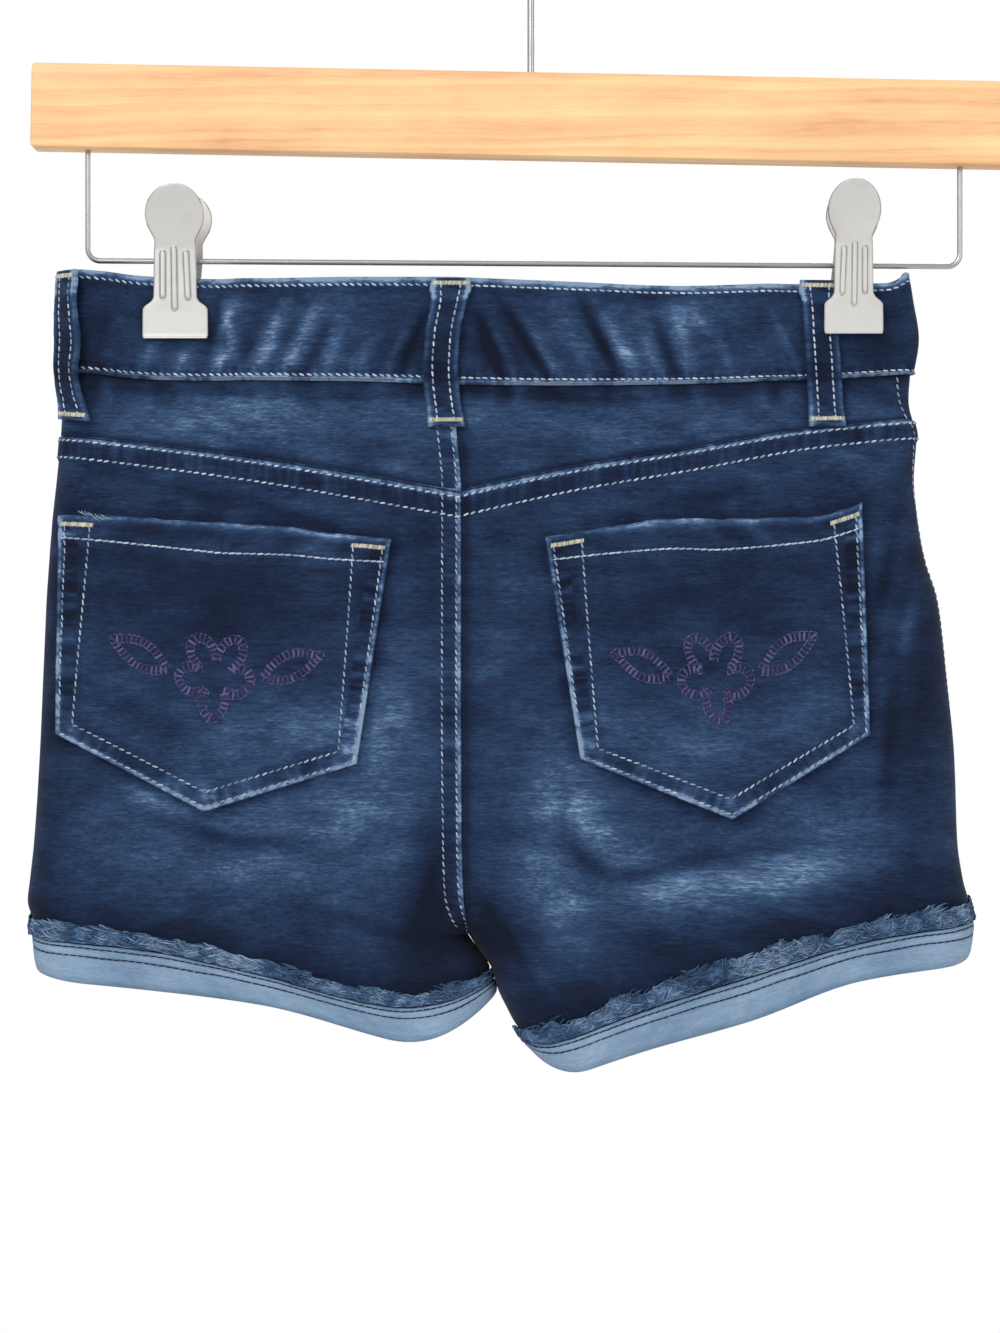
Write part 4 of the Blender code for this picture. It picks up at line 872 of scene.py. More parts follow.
OUTSIDE = cloth_material("denim", DENIM_STOPS, 1.0, 0.00035)
REVERSE = cloth_material("denim_reverse", REVERSE_STOPS, 0.5, 0.0002)
CREAM = thread_material("thread_cream", (84, 100, 124), (146, 163, 184), (204, 217, 230))
TACK = thread_material("thread_tack", (118, 118, 108), (184, 181, 162), (226, 223, 206))
NAVY = thread_material("thread_navy", (8, 12, 24), (16, 22, 38), (26, 33, 52))
PURPLE = thread_material("thread_purple", (33, 35, 62), (62, 59, 100), (96, 88, 136))
FLUFF = thread_material("frayed_edge", (20, 36, 64), (74, 104, 140), (168, 192, 216), 0.12)
STEEL = metal_material("clip_steel", linear(216, 214, 210), 0.45, 0.5, 0.2)
WIRE = metal_material("hanger_wire", linear(186, 186, 188), 0.8, 0.3, 0.2)
BRASS = metal_material("button_metal", linear(176, 172, 166), 0.9, 0.4, 0.3)
WOOD = wood_material()

# ---- threads

GRAIN_AT = np.array([-1.0, -0.55, 0.55, 1.0])
GRAIN_WIDE = np.array([0.3, 0.95, 0.95, 0.3])
GRAIN_SIDES = 6
RAISED = 0.18  # how far a stitch's middle stands out, as a share of its height


def grain():
    """A stitch along X, 2 long, 2 wide and 2 high, and its faces."""
    turn = np.arange(GRAIN_SIDES) * 2 * math.pi / GRAIN_SIDES
    points = [(a, r * math.cos(t), r * math.sin(t)) for a, r in zip(GRAIN_AT, GRAIN_WIDE) for t in turn]
    faces = []
    for k in range(len(GRAIN_AT) - 1):
        for j in range(GRAIN_SIDES):
            n = (j + 1) % GRAIN_SIDES
            here, there = k * GRAIN_SIDES, (k + 1) * GRAIN_SIDES
            faces.append([here + j, there + j, there + n, here + n])
    last = (len(GRAIN_AT) - 1) * GRAIN_SIDES
    faces.append([last + j for j in range(GRAIN_SIDES)])
    faces.append(list(range(GRAIN_SIDES))[::-1])
    return np.array(points), faces


GRAIN, GRAIN_FACES = grain()


def stitches(
    name, runs, material=CREAM, seed=1, pitch=2.6, tone=(0.2, 1.0), lean=14.0, size=(1.95, 0.66, 0.5)
):
    """One mesh of stitches along runs, which are pairs of points and normals; size is one stitch's."""
    length, width, height = size
    rng = np.random.default_rng(seed)
    points, tones = [], []
    for line, normals in runs:
        arc = arc_lengths(line)
        count = max(int(round(arc[-1] / pitch)), 1)
        centre = (np.arange(count) + 0.5) * arc[-1] / count + rng.uniform(-0.06, 0.06, count) * pitch

        def find(grid, at):
            return np.stack([np.interp(at, arc, grid[:, k]) for k in range(3)], -1)

        reach = min(length, pitch) / 2
        way = unit(find(line, centre + reach) - find(line, centre - reach))
        up = unit(find(normals, centre))
        side = np.cross(up, way)
        turn = np.radians(lean + rng.uniform(-4, 4, count))[:, None]
        ahead = way * np.cos(turn) + side * np.sin(turn)
        beside = side * np.cos(turn) - way * np.sin(turn)
        grown = rng.uniform(0.92, 1.06, count)[:, None, None]
        made = (
            ahead[:, None] * GRAIN[None, :, :1] * length / 2 * grown
            + beside[:, None] * GRAIN[None, :, 1:2] * width / 2
            + up[:, None] * (GRAIN[None, :, 2:] * height / 2 + height * RAISED)
        )
        points.append((find(line, centre)[:, None] + made).reshape(-1, 3))
        tones.append(np.repeat(rng.uniform(*tone, count), len(GRAIN)))
    points = np.concatenate(points)
    total = len(points) // len(GRAIN)
    faces = [[n + k * len(GRAIN) for n in face] for k in range(total) for face in GRAIN_FACES]
    return add_piece(name, points, faces, [material], marks={"tone": np.concatenate(tones)})

# ---- cloth pieces

BACK_STEP, FRONT_STEP = 1.65, 2.3
HALVES = ("left", "right")
SIDES = [(half, front) for half in HALVES for front in (0, 1)]
LINED = {"denim": [OUTSIDE, REVERSE], "waistband_denim": [OUTSIDE, OUTSIDE]}
WEAR = dict(panel=0.38, waistband=0.37, pocket=0.3, loop=0.27, fly=0.3, cuff=0.74)  # before its marks
SHEETS = {}
FAR = 99.0  # millimetres from a seam where none is near


def side_name(half, front):
    return ("front_" if front else "back_") + half


def span(half, front, v):
    """First and last arc of the back or front at a row."""
    seam = seam_arc(half, v)
    return (seam, full_arc(half, v)) if front else (0.0, seam)


def spread_out(half, front, v, count):
    """First and last arc of each row, and count arcs from one to the other."""
    ends = np.array([span(half, front, one) for one in v])
    return ends, ends[:, :1] + (ends[:, 1:] - ends[:, :1]) * np.linspace(0, 1, count)


def cloth(name, slot, rows, faces, wear, uv, seam, rim=THIN_RIM, way=1):
    """A piece of cloth in place of its solid, kept for what is sewn on it."""
    uv = np.stack(np.broadcast_arrays(*uv), -1)
    shell(name + "_cloth", *faces, LINED[slot], slot, name, {"wear": wear}, uv, rim, seam)
    SHEETS[name] = Sheet(rows, faces[0], way)


def seam_field(shape, parts):
    """Along a seam, distance inside its worn edge, and strength: the nearest one counts."""
    best = np.full(shape, FAR)
    field = np.zeros(shape + (3,))
    field[..., 1] = FAR
    for along, away, strength in parts:
        nearer = (away > -0.01) & (away < best)
        best = np.where(nearer, away, best)
        here = np.stack(np.broadcast_arrays(along, away, strength), -1)
        field = np.where(nearer[..., None], here, field)
    return field


V_DARK = 0.84  # below it the panels are darker, in the shade of the fray
V_FELL_END, V_RUNGS_END, V_SHADE_END = 0.76, 0.77, 0.8  # of the centre-back seam


def panel_marks(half, front, v, s, x, z, lift):
    """Wear and painted shade of a panel, and its seams."""
    down = np.broadcast_to(np.asarray(v)[:, None], s.shape)
    # faded patches and painted shade from the table; raised creases paler and troughs darker, partly rubbed
    # wear and partly painted light and shade
    wear = WEAR["panel"] + both_sides(FADES_AND_SHADE, half, v, s, x, z) + 0.3 * lift
    # painted shade: darker towards the hems under the fray, and a painted shadow line just under the
    # waistband
    wear = wear - 0.24 * ease((down - V_DARK) / 0.06) - 0.3 * bell(down - V_WAIST, 0.012)
    from_side = np.abs(s - column(seam_arc, half, v))
    wear = wear - 0.08 * between(from_side, 1.2, 7.0, 1.5)
    parts = [(down * PANEL_MM, from_side, 0.55)]
    if not front:
        streaks = 0.6 * wander(0.5 * x + 0.9 * z, 3.1, 16) + 0.4 * wander(0.8 * x - 0.5 * z, 4.3, 17)
        pale = (0.1 if half == "left" else 0.05) + 0.06 * streaks
        wear = wear + pale * (down < V_YOKE)
        below = (down - V_YOKE) * YOKE_MM
        # painted shadow on the yoke just above its seam, and a darker band below the seam between its rows
        wear = wear - 0.28 * bell(below + 1.4, 1.5) - 0.1 * between(below, 2.4, 8.4, 0.8)
        parts.append((s, 0.78 * below, 0.8))
        if half == "left":
            parts.append((down * PANEL_MM, np.where(down < V_RUNGS_END, s, FAR), 0.8))
        else:
            # painted shadow beside the centre-back fell, which lies over this half
            wear = wear - 0.26 * bell(s - 1.0, 2.0) * (down < V_SHADE_END)
        for pocket in HALVES:
            # painted shadow just outside each pocket's outline
            wear = wear - 0.14 * bell(to_outline(pocket, x, z)[0] + 1.5, 2.0)
    return wear, seam_field(s.shape, parts)


def seam_ropes(front, x, z):
    """Small puckers under the waistband and round the pockets."""
    total = 0.4 * wander(x, 4.6, 11 + front) * bell(z + 196, 5)
    if not front:
        for half, seed in (("left", 21), ("right", 31)):
            inside, along, _ = to_outline(half, x, z)
            total = total + 0.35 * wander(along, 5.2, seed) * bell(inside, 5.5)
    return total


def build_panel(node, half, front, low, high, step):
    """One panel or yoke: a thin shell with its felled seams, creases and puckers."""
    v = np.linspace(low, high, int((high - low) * PANEL_MM / step) + 1)
    first, last = span(half, front, (low + high) / 2)
    _, s = spread_out(half, front, v, int((last - first) / step) + 1)
    base = on_rows(half, v, s)
    x, z = base[..., 0], base[..., 2]
    normals = grid_normals(base, way_of(half))
    creases = both_sides(CREASES, half, v, s, x, z) * clip_press(x, z)[1]
    lift = (creases + seam_ropes(front, x, z)) * (1 - bell(s - column(fold_arc, half, v), 6))
    v_grid = np.broadcast_to(v[:, None], s.shape)
    fell = np.zeros(s.shape)
    if half == "left" and not front:
        fell = FELL_PROUD * between(s, -1, FELL_WIDTH, 1.4) * (1 - ease((v_grid - V_FELL_END) / 0.04))
        fell = fell + 0.18 * wander(v_grid * PANEL_MM, 3.6, 13) * between(s, 0, FELL_WIDTH, 1.4)
    if low >= V_YOKE:
        rungs = FELL_PROUD + 0.2 * wander(s, 3.6, 14)
        fell = np.maximum(fell, rungs * between((v_grid - V_YOKE) * YOKE_MM, -1, 9.0, 1.6))
    wear, seam = panel_marks(half, front, v, s, x, z, lift)
    faces = seam_gap(base + normals * (lift + fell)[..., None], base - normals * DENIM)
    cloth(node, "denim", v, faces, wear, (s, z), seam, way=way_of(half))


def build_panels():
    for half in HALVES:
        build_panel("yoke_" + half, half, 0, V_WAIST, V_YOKE, BACK_STEP)
        build_panel("back_panel_" + half, half, 0, V_YOKE, V_PANEL_END, BACK_STEP)
        build_panel("front_panel_" + half, half, 1, V_WAIST, V_PANEL_END, FRONT_STEP)


LAP = 12.0
BAND_DEEP, BAND_LONG = 38.0, 305.0
BAND_FINER = 0.7  # its step, as a share of the panels'
BAND_ROWS = (3.0, 35.1)  # its rows of stitches, below its top
BAND_RIM = 0.9


def build_waistband():
    """Both halves of the waistband, the left one with its lap over the right one's end."""
    step = BACK_STEP * BAND_FINER
    v = np.linspace(V_TOP, V_WAIST, int(BAND_DEEP / step) + 1)
    for half in HALVES:
        whole = column(full_arc, half, v)
        s = whole * np.linspace(0, 1, int(BAND_LONG / step))
        base = on_rows(half, v, s)
        normals = grid_normals(base, way_of(half))
        proud = np.full(s.shape, WAISTBAND_PROUD)
        if half == "left":
            proud = WAISTBAND_PROUD + (WAISTBAND_WALL + LAID) * ease((s - whole + 26) / 20)
            lap = np.linspace(0, LAP, 9)[1:]
            more = on_rows("right", v, column(full_arc, "right", v) - lap)
            base = np.concatenate([base, more], 1)
            normals = np.concatenate([normals, grid_normals(more[:, ::-1], -1)[:, ::-1]], 1)
            proud = np.concatenate([proud, np.repeat(proud[:, -1:], len(lap), 1)], 1)
            s = np.concatenate([s, whole + lap], 1)
        x, z = base[..., 0], base[..., 2]
        down = np.broadcast_to(v[:, None], s.shape) / V_WAIST * BAND_DEEP
        at_fold = 1 - bell(s - column(fold_arc, half, v), 5)
        held = ease((down - 2.6) / 5) * ease((37 - down) / 3)
        folds = both_sides(CREASES, half, v, s, x, z) * at_fold * (0.2 + 0.8 * held)
        lift = folds * (0.4 + 0.6 * clip_press(x, z)[1])
        lift = lift + 0.3 * wander(s, 4.4, 41) * bell(down - 35.5, 3.0) * at_fold
        lift = lift + 0.45 * bell(down - 36.8, 1.1)
        lift = lift - 0.3 * bell(down - 3.0, 0.8) - 0.35 * bell(down - 35.0, 0.8)
        outer = base + normals * (proud + lift)[..., None]
        faces = seam_gap(outer, base + normals * (proud - WAISTBAND_WALL)[..., None])
        wear = WEAR["waistband"] + both_sides(FADES_AND_SHADE, half, v, s, x, z)
        # ridges of the folds paler and troughs darker: partly rubbed wear, partly painted light and shade
        wear = wear + np.where(folds > 0, 0.32, 0.4) * folds
        wear = wear + (0.5 + 0.16 * wander(s, 5.0, 43)) * bell(down, 2.4, 4)
        wear = wear + (0.32 + 0.2 * wander(s, 7.0, 44)) * bell(down - 36.8, 1.4)
        wear = wear - 0.1 * bell(down - 4.6, 1.2)
        upper = down < BAND_DEEP / 2
        from_edge = np.where(upper, down, BAND_DEEP - down)
        seam = seam_field(s.shape, [(s, from_edge, np.where(upper, 0.3, 0.8))])
        name = "waistband_" + half
        cloth(name, "waistband_denim", v, faces, wear, (s, -down), seam, BAND_RIM, way_of(half))


POCKET_SIZE = (115.0, 95.0)  # what its points are spread over
POCKET_FINER = 0.75
POCKET_RIM = 0.4
POCKET_HEM = 9.6
POCKET_SOFT = 0.5  # share of a panel's creases that shows on the pocket over it
OUTER_ROW, OUTER_TOP = 1.5, 2.5  # the outer row of stitches inside the edge, below and at the top
INNER_ROW = table("side_top side_low foot", [(12.7, 8.0, 7.4), (10.4, 6.2, 7.4)])  # inner side, outer side


def pocket_tip(half):
    """How far across a pocket its foot's point lies."""
    x = POCKETS[half]["x"]
    return (x[3] - x[4]) / (x[2] - x[4])


def pocket_place(half, p, q):
    """(x, z) on a patch pocket: p runs from its inner edge to its outer edge, q down."""
    found = []
    for places in (POCKETS[half]["x"], -POCKETS[half]["down"]):
        top = places[0] + (places[1] - places[0]) * p
        low = np.interp(p, [0, pocket_tip(half), 1], places[[4, 3, 2]])
        found.append(top + (low - top) * q)
    return found[0], found[1] + top_wave(half, p, q)


def build_pockets():
    """Patch pockets: a roped hem that gapes a little, worn edges and worn corners."""
    step = BACK_STEP * POCKET_FINER
    across, below = [np.linspace(0, 1, int(size / step) + 1) for size in POCKET_SIZE]
    p, q = np.meshgrid(across, below)
    for half in HALVES:
        x, z = pocket_place(half, p, q)
        base, normals = back_surface(x, z + 0.3 * wander(x, 4.2, 51) * bell(q, 0.03))
        inside, along, side = to_outline(half, x, z)
        inside = np.maximum(inside, 0)
        down = q * POCKET_TALL
        sewn = side > 0.5
        hem = between(down, -1, POCKET_HEM + 0.6, 1.2)
        border = sewn * between(inside, -1, 8.0, 1.6)
        slant = wander(x * 0.9 + down * 1.1 * way_of(half), 4.8, 53)
        ropes = 0.8 * slant * bell(down - 4.4, 4.0)
        ropes = ropes + 0.36 * wander(along, 4.2, 55) * bell(inside - 4, 4.0) * sewn
        soft = POCKET_SOFT * bumps(CREASES, 0, x, z)
        rows = -0.3 * bell(down - POCKET_HEM, 0.8) * between(p, 0.02, 0.98, 0.02)
        lift = LAID + 0.15 + 1.4 * np.sin(np.pi * p) ** 2 * (1 - ease(q / 0.4))
        thick = POCKET_WALL + 0.35 * np.maximum(hem, border) + ropes + soft + rows
        faces = base + normals * (lift + thick)[..., None], base + normals * lift[..., None]

        # raised ropes and creases paler, hollows darker: partly rubbed wear, partly painted light and shade
        wear = WEAR["pocket"] + bumps(FADES_AND_SHADE, 0, x, z) + 0.3 * (ropes + soft) + 0.1 * hem
        wear = wear + 0.12 * ease((q - 0.3) / 0.5) - 0.08 * border
        top = np.clip(0.8 + 0.4 * wander(x, 6.0, 59), 0.2, 1.1) * bell(down, 2.3, 4)
        under = np.clip(0.5 + 0.6 * slant, 0, 1.1) * bell(down - 4.6, 2.2)
        below_hem = bell(down - POCKET_HEM - 2.0, 0.9) * between(p, 0.08, 0.92, 0.04)
        wear = wear + 0.26 * top - 0.2 * under + 0.1 * below_hem
        for corner_p, corner_q in ((0.05, 0.925), (pocket_tip(half), 0.94), (0.955, 0.935)):
            away = np.hypot((p - corner_p) * POCKET_WIDE, (q - corner_q) * POCKET_TALL)
            wear = wear + 0.34 * bell(away, 2.8)
        worn = np.clip(0.62 + 0.6 * wander(along, 9.0, 57), 0.2, 1.0)
        strength = np.where(sewn, 0.68 + 0.14 * ease((0.88 - q) / 0.06) + 0.2 * worn, 0.3)
        seam = np.stack([along, inside, strength], -1)
        cloth("back_pocket_" + half, "denim", below, faces, wear, (x, z), seam, POCKET_RIM, way_of(half))


# How far a belt loop stands off the cloth: a plain one, one under a clip, and one over the felled seam
LOOP_RUN = table(
    "down plain pressed felled",
    [
        (155.2, 1.5, 1.75, 1.55), (157.5, 1.75, 1.8, 1.8), (163, 2.5, 1.85, 2.6), (174, 2.9, 1.95, 3),
        (186, 2.7, 2.6, 2.8), (195, 1.5, 1.8, 1.7), (202, 0.75, 0.9, 1.1), (208.6, 0.6, 0.8, 1),
    ],
)
LOOP_ROWS = 60
LOOP_RIM = 0.5
LOOP_BUMP = 4.0  # below its top, where a loop is widest and palest
ACROSS = np.linspace(-1, 1, 19)
# Levels of the waistband's top and foot at the loops, and the yoke's height beside them
WAIST_TOP, WAIST_LOW = 154.6, 189.9
YOKE_SIDE = 24.0


def loop_piece(name, middle, tangent, normal, under, down):
    """A belt loop over its middle line: folded cloth, ragged at its sides, thicker at its turned ends."""
    below = down - down[0]
    ends = bell(below, 3.0) + bell(down[-1] - down, 3.0)
    half = LOOP_WIDTH / 2 * (1 + 0.08 * ends) + 0.16 * wander(down, 3.0, 61) + 0.1 * wander(down, 1.3, 62)
    half = half + 1.1 * bell(below - LOOP_BUMP, 2.6)
    side = tangent[:, None] * (half[:, None] * ACROSS)[..., None]
    from_middle = np.abs(ACROSS)
    crown = 0.3 * (1 - ACROSS**2) - 0.28 * bell(from_middle - 0.46, 0.12)
    slant = 0.22 * wander(down[:, None] + 4.0 * ACROSS, 3.4, 64) * (1 - ACROSS**4)
    inner = middle[:, None] + side + normal[:, None] * under[:, None, None]
    thick = LOOP_WALL + crown + 0.45 * ends[:, None] + slant
    faces = inner + normal[:, None] * thick[..., None], inner
    # the slanting ripples paler where raised and darker where sunk: partly wear, partly painted light and
    # shade
    wear = WEAR["loop"] + 0.08 * wander(down, 7.0, 65)[:, None] - 0.06 * (from_middle < 0.4) + 0.4 * slant
    wear = wear + 0.22 * ends[:, None] * (1 + wander(down[:, None] * 3 + 5 * ACROSS, 2.0, 66))
    strength = 0.62 + 0.25 * wander(down, 5.0, 67)[:, None] + 0.4 * bell(below - LOOP_BUMP, 3.0)[:, None]
    seam = [down[:, None], (1 - from_middle) * LOOP_WIDTH / 2, strength]
    seam = np.stack(np.broadcast_arrays(*seam), -1)
    uv = (ACROSS * half[:, None], -down[:, None])
    cloth(name, "waistband_denim", down, faces, wear, uv, seam, LOOP_RIM)
    middle_row, middle_column = len(down) // 2, len(ACROSS) // 2
    if np.dot(SHEETS[name].normals[middle_row, middle_column], normal[middle_row]) < 0:
        SHEETS[name].normals *= -1


def axes(middle, beside, below):
    """Across a loop and out of the cloth, from points beside and below its middle line."""
    tangent = unit(beside - middle)
    return tangent, unit(np.cross(tangent, below - middle))


def build_loops():
    """Belt loops: two at measured places, three at an arc from the centre seam or the fly."""
    down = np.linspace(LOOP_RUN["down"][0], LOOP_RUN["down"][-1], LOOP_ROWS)
    z = -down
    measured = {
        "belt_loop_centre_back": ([157, 162, 176, 188, 208], [-28.6, -29.1, -31.6, -32.3, -30.2], "felled"),
        "belt_loop_right_back": ([157, 182, 208], [102.9, 104.2, 105.6], "pressed"),
    }
    for name, (levels, places, path) in measured.items():
        x = smooth(down, np.array(levels, float), np.array(places, float))
        middle = back_surface(x, z)[0]
        tangent, normal = axes(middle, back_surface(x - 5, z)[0], back_surface(x, z - 3)[0])
        loop_piece(name, middle, tangent, normal, read(LOOP_RUN, down, path), down)
    v = np.maximum((down - WAIST_TOP) / (WAIST_LOW - WAIST_TOP) * V_WAIST, 0.0)
    v = np.where(v > V_WAIST, V_WAIST + (down - WAIST_LOW) / YOKE_SIDE * (V_YOKE - V_WAIST), v)
    at_arcs = (("left", 0, 138.2, 0.15), ("left", 1, 86.0, 0.1), ("right", 1, 86.0, 0.1))
    for half, front, arc, more in at_arcs:
        name = "belt_loop_" + half + ("_front" if front else "_back")
        s = column(full_arc, half, v) - arc if front else np.full((len(v), 1), arc)
        middle = on_rows(half, v, s)[:, 0]
        beside = on_rows(half, v, s + 3 * way_of(half))[:, 0]
        tangent, normal = axes(middle, beside, on_rows(half, v + 0.01, s)[:, 0])
        loop_piece(name, middle, tangent, normal, read(LOOP_RUN, down, "plain") + more, down)


FLY_WIDTH, FLY_LAP = 33.0, 4.0
FLY_TURN, FLY_BOTTOM = 0.30, 0.47
FLY_ROWS, FLY_COLUMNS, FLY_LAP_COLUMNS = 70, 24, 6


def fly_width(v):
    turn = ease((v - FLY_TURN) / (FLY_BOTTOM - FLY_TURN))
    return FLY_WIDTH * np.sqrt(np.maximum(1 - turn**2, 0)) + 1.5


def build_fly():
    """The fly strip on the left front, lapped over the front opening."""
    v = np.linspace(V_WAIST + 0.004, FLY_BOTTOM, FLY_ROWS)
    whole = column(full_arc, "left", v)
    s = whole - fly_width(v)[:, None] * np.linspace(1, 0, FLY_COLUMNS)
    base = on_rows("left", v, s)
    normals = grid_normals(base, 1)
    lap = np.linspace(0.6, FLY_LAP, FLY_LAP_COLUMNS)
    ahead = unit(base[:, -1:] - base[:, -2:-1])
    base = np.concatenate([base, base[:, -1:] + ahead * lap[None, :, None]], 1)
    normals = np.concatenate([normals, np.repeat(normals[:, -1:], len(lap), 1)], 1)
    s = np.concatenate([s, whole + lap], 1)
    x, z = base[..., 0], base[..., 2]
    from_edge = whole + FLY_LAP - s
    ropes = 0.25 * wander(-z, 4.6, 71) * bell(from_edge - 2, 5)
    faces = base + normals * (LAID + FLY_WALL + ropes)[..., None], base + normals * LAID
    # puckers paler where raised: partly wear, partly painted light and shade
    wear = WEAR["fly"] + bumps(FADES_AND_SHADE, 1, x, z) + 0.25 * ropes
    seam = seam_field(s.shape, [(-z, from_edge, 0.9), (-z, s - s[:, :1], 0.5)])
    cloth("fly", "denim", v, faces, wear, (s, z), seam)


BUTTON = table(
    "radius out",
    [
        (0, 2.35), (3.4, 2.35), (4.2, 2.15), (5.2, 2.2), (6.2, 2.75), (7.2, 2.8), (8, 2.3), (8.2, 1.6),
        (7.4, 0.6), (7, 0), (0, 0),
    ],
)
BUTTON_TURNS = 48


def build_button():
    """The tack button: its profile turned round, on the seat of its solid."""
    low, high = np.array(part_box("button")) / MM
    turns = np.linspace(0, 2 * math.pi, BUTTON_TURNS + 1)[:-1]
    radius = np.maximum(BUTTON["radius"], 0.01)[:, None]
    x = (low[0] + high[0]) / 2 + radius * np.cos(turns)
    z = (low[2] + high[2]) / 2 + radius * np.sin(turns)
    y = np.broadcast_to(low[1] + BUTTON["out"][:, None], x.shape)
    number = np.arange(x.size).reshape(x.shape)
    after = np.roll(number, -1, 1)
    faces = np.stack([number[:-1], after[:-1], after[1:], number[1:]], -1).reshape(-1, 4)
    points = np.stack([x, y, z], -1).reshape(-1, 3)
    add_piece("button_metal", points, faces.tolist(), [BRASS], "button")


CUFF_SECTION = table(
    "share out",
    [
        (0, 2), (0.1, 2.3), (0.35, 2.6), (0.7, 2.7), (0.92, 2.3), (1, 1.2), (1, -0.8), (0.96, -1.35),
        (0.915, -1.35), (0.915, LAID), (0.55, LAID), (0, LAID),
    ],
)
CUFF_TALL = 15.0
CUFF_ROWS = (0.09, 0.3)  # its rows of stitches, as shares of its height
CUFF_STEP = 0.045  # share of its height between two points down a cuff
CUFF_COLUMNS = 90
CUFF_OUTSIDE = 1.0  # what stands out further than this is its outer face


def cut_corners(loop):
    """One round of corner cutting on a closed line."""
    after = np.roll(loop, -1, 0)
    return np.stack([loop * 0.75 + after * 0.25, loop * 0.25 + after * 0.75], 1).reshape(-1, loop.shape[1])


def fill_in(loop, step):
    """Adds points to a closed line where they stand more than a step apart."""
    points = []
    for here, there in zip(loop, np.roll(loop, -1, 0)):
        count = max(int(np.ceil(np.abs(there - here)[0] / step)), 1)
        points += [here + (there - here) * k / count for k in range(count)]
    return np.array(points)


def build_cuffs():
    """Turned-up cuffs: the pale side of the cloth out, puffed between their rows of stitches."""
    section = np.stack([CUFF_SECTION["share"], CUFF_SECTION["out"]], 1)
    shares, outs = fill_in(cut_corners(cut_corners(section)), CUFF_STEP).T
    v = V_CUFF + (V_HEM - V_CUFF) * shares
    share = shares[:, None]
    rows = sum(bell(share - at, 0.035) for at in CUFF_ROWS)
    outside = (outs > CUFF_OUTSIDE)[:, None] * np.ones(CUFF_COLUMNS)
    face_rows = [k for k in np.argsort(v) if outs[k] > CUFF_OUTSIDE]
    for half, front in SIDES:
        ends, s = spread_out(half, front, v, CUFF_COLUMNS)
        base = on_rows(half, v, s)
        drop = on_rows(half, np.minimum(v + 0.004, 1), s) - on_rows(half, v - 0.004, s)
        normals = unit(np.cross(np.gradient(base, axis=1), drop) * way_of(half))
        wave = 0.3 * wander(s, 13.0, 81) + 0.16 * wander(s, 5.0, 82)
        puffs = outside * (wave * np.sin(np.pi * share) - 0.3 * rows)
        points = base + normals * (outs[:, None] + puffs)[..., None]
        wear = WEAR["cuff"] + 0.08 * wander(s, 16.0, 83) + 0.04 * wander(s + 9 * share, 4.0, 84)
        # puffs a little paler, partly wear and partly painted light; darker towards the bottom
        wear = wear + 0.1 * puffs - 0.14 * ease((share - 0.75) / 0.25)
        # painted shade in the grooves along the rows of stitches, and darker at the top
        wear = wear - 0.16 * rows * outside - 0.1 * (1 - ease(share / 0.1))
        near = np.minimum(np.abs(s - ends[:, :1]), np.abs(s - ends[:, 1:]))
        marks = {"wear": (wear - 0.1 * bell(near, 1.0)).ravel()}
        uv = np.stack(np.broadcast_arrays(s, -share * CUFF_TALL), -1).reshape(-1, 2)
        name = "cuff_" + side_name(half, front)
        faces = closed_strip(points, half == "right")
        add_piece(name + "_cloth", points.reshape(-1, 3), faces, [REVERSE], name, None, marks, uv)
        SHEETS[name] = Sheet(shares[face_rows], points[face_rows], way_of(half))


FRAY_STRANDS = (2900, 1300)  # back, front
STRAND_POINTS = 5
STRAND_SIDES = 3
FRAY_PER_MM = 0.0042  # rows of the surface for each millimetre above the cuff
FRAY_SECTION = ((0, LAID), (0, 1.7), (0.3, 2.2), (0.7, 1.9), (1.0, 0.8), (0.9, LAID))
FRAY_GROUND = np.linspace(0.885, 0.965, 28)
FRAY_SHARES = np.linspace(0, 1, 400)


def strand_mesh(line, normals, thick, first):
    beside = np.cross(unit(np.gradient(line, axis=1)), normals)
    return tubes(line, beside, normals, thick, STRAND_SIDES, first)


def fray_strip(ground, front, wide):
    """Height of a raw edge along its cuff, and the matted strip that fills it."""
    place = FRAY_SHARES * wide
    tall = 5.9 + 1.1 * wander(place, 12.0, 91 + front) + 1.2 * wander(place, 4.0, 92)
    tall = np.clip(tall + 0.7 * wander(place, 1.5, 95), 3.4, 8.6)
    strip, tones = [], []
    for rise, out in FRAY_SECTION:
        combed = place + 9.0 * rise
        lumps = (0.45 * wander(combed, 2.4, 93) + 0.25 * wander(combed, 1.0, 96)) * (out > 0.5)
        points, normals = ground.at(V_CUFF - 0.002 - tall * rise * FRAY_PER_MM, FRAY_SHARES)
        strip.append(points + normals * (out + lumps)[:, None])
        tones.append(0.4 + 0.2 * wander(combed, 1.9, 94) + 0.12 * wander(place, 7.0, 97))
    return tall, np.array(strip), np.clip(np.concatenate(tones), 0.04, 1)


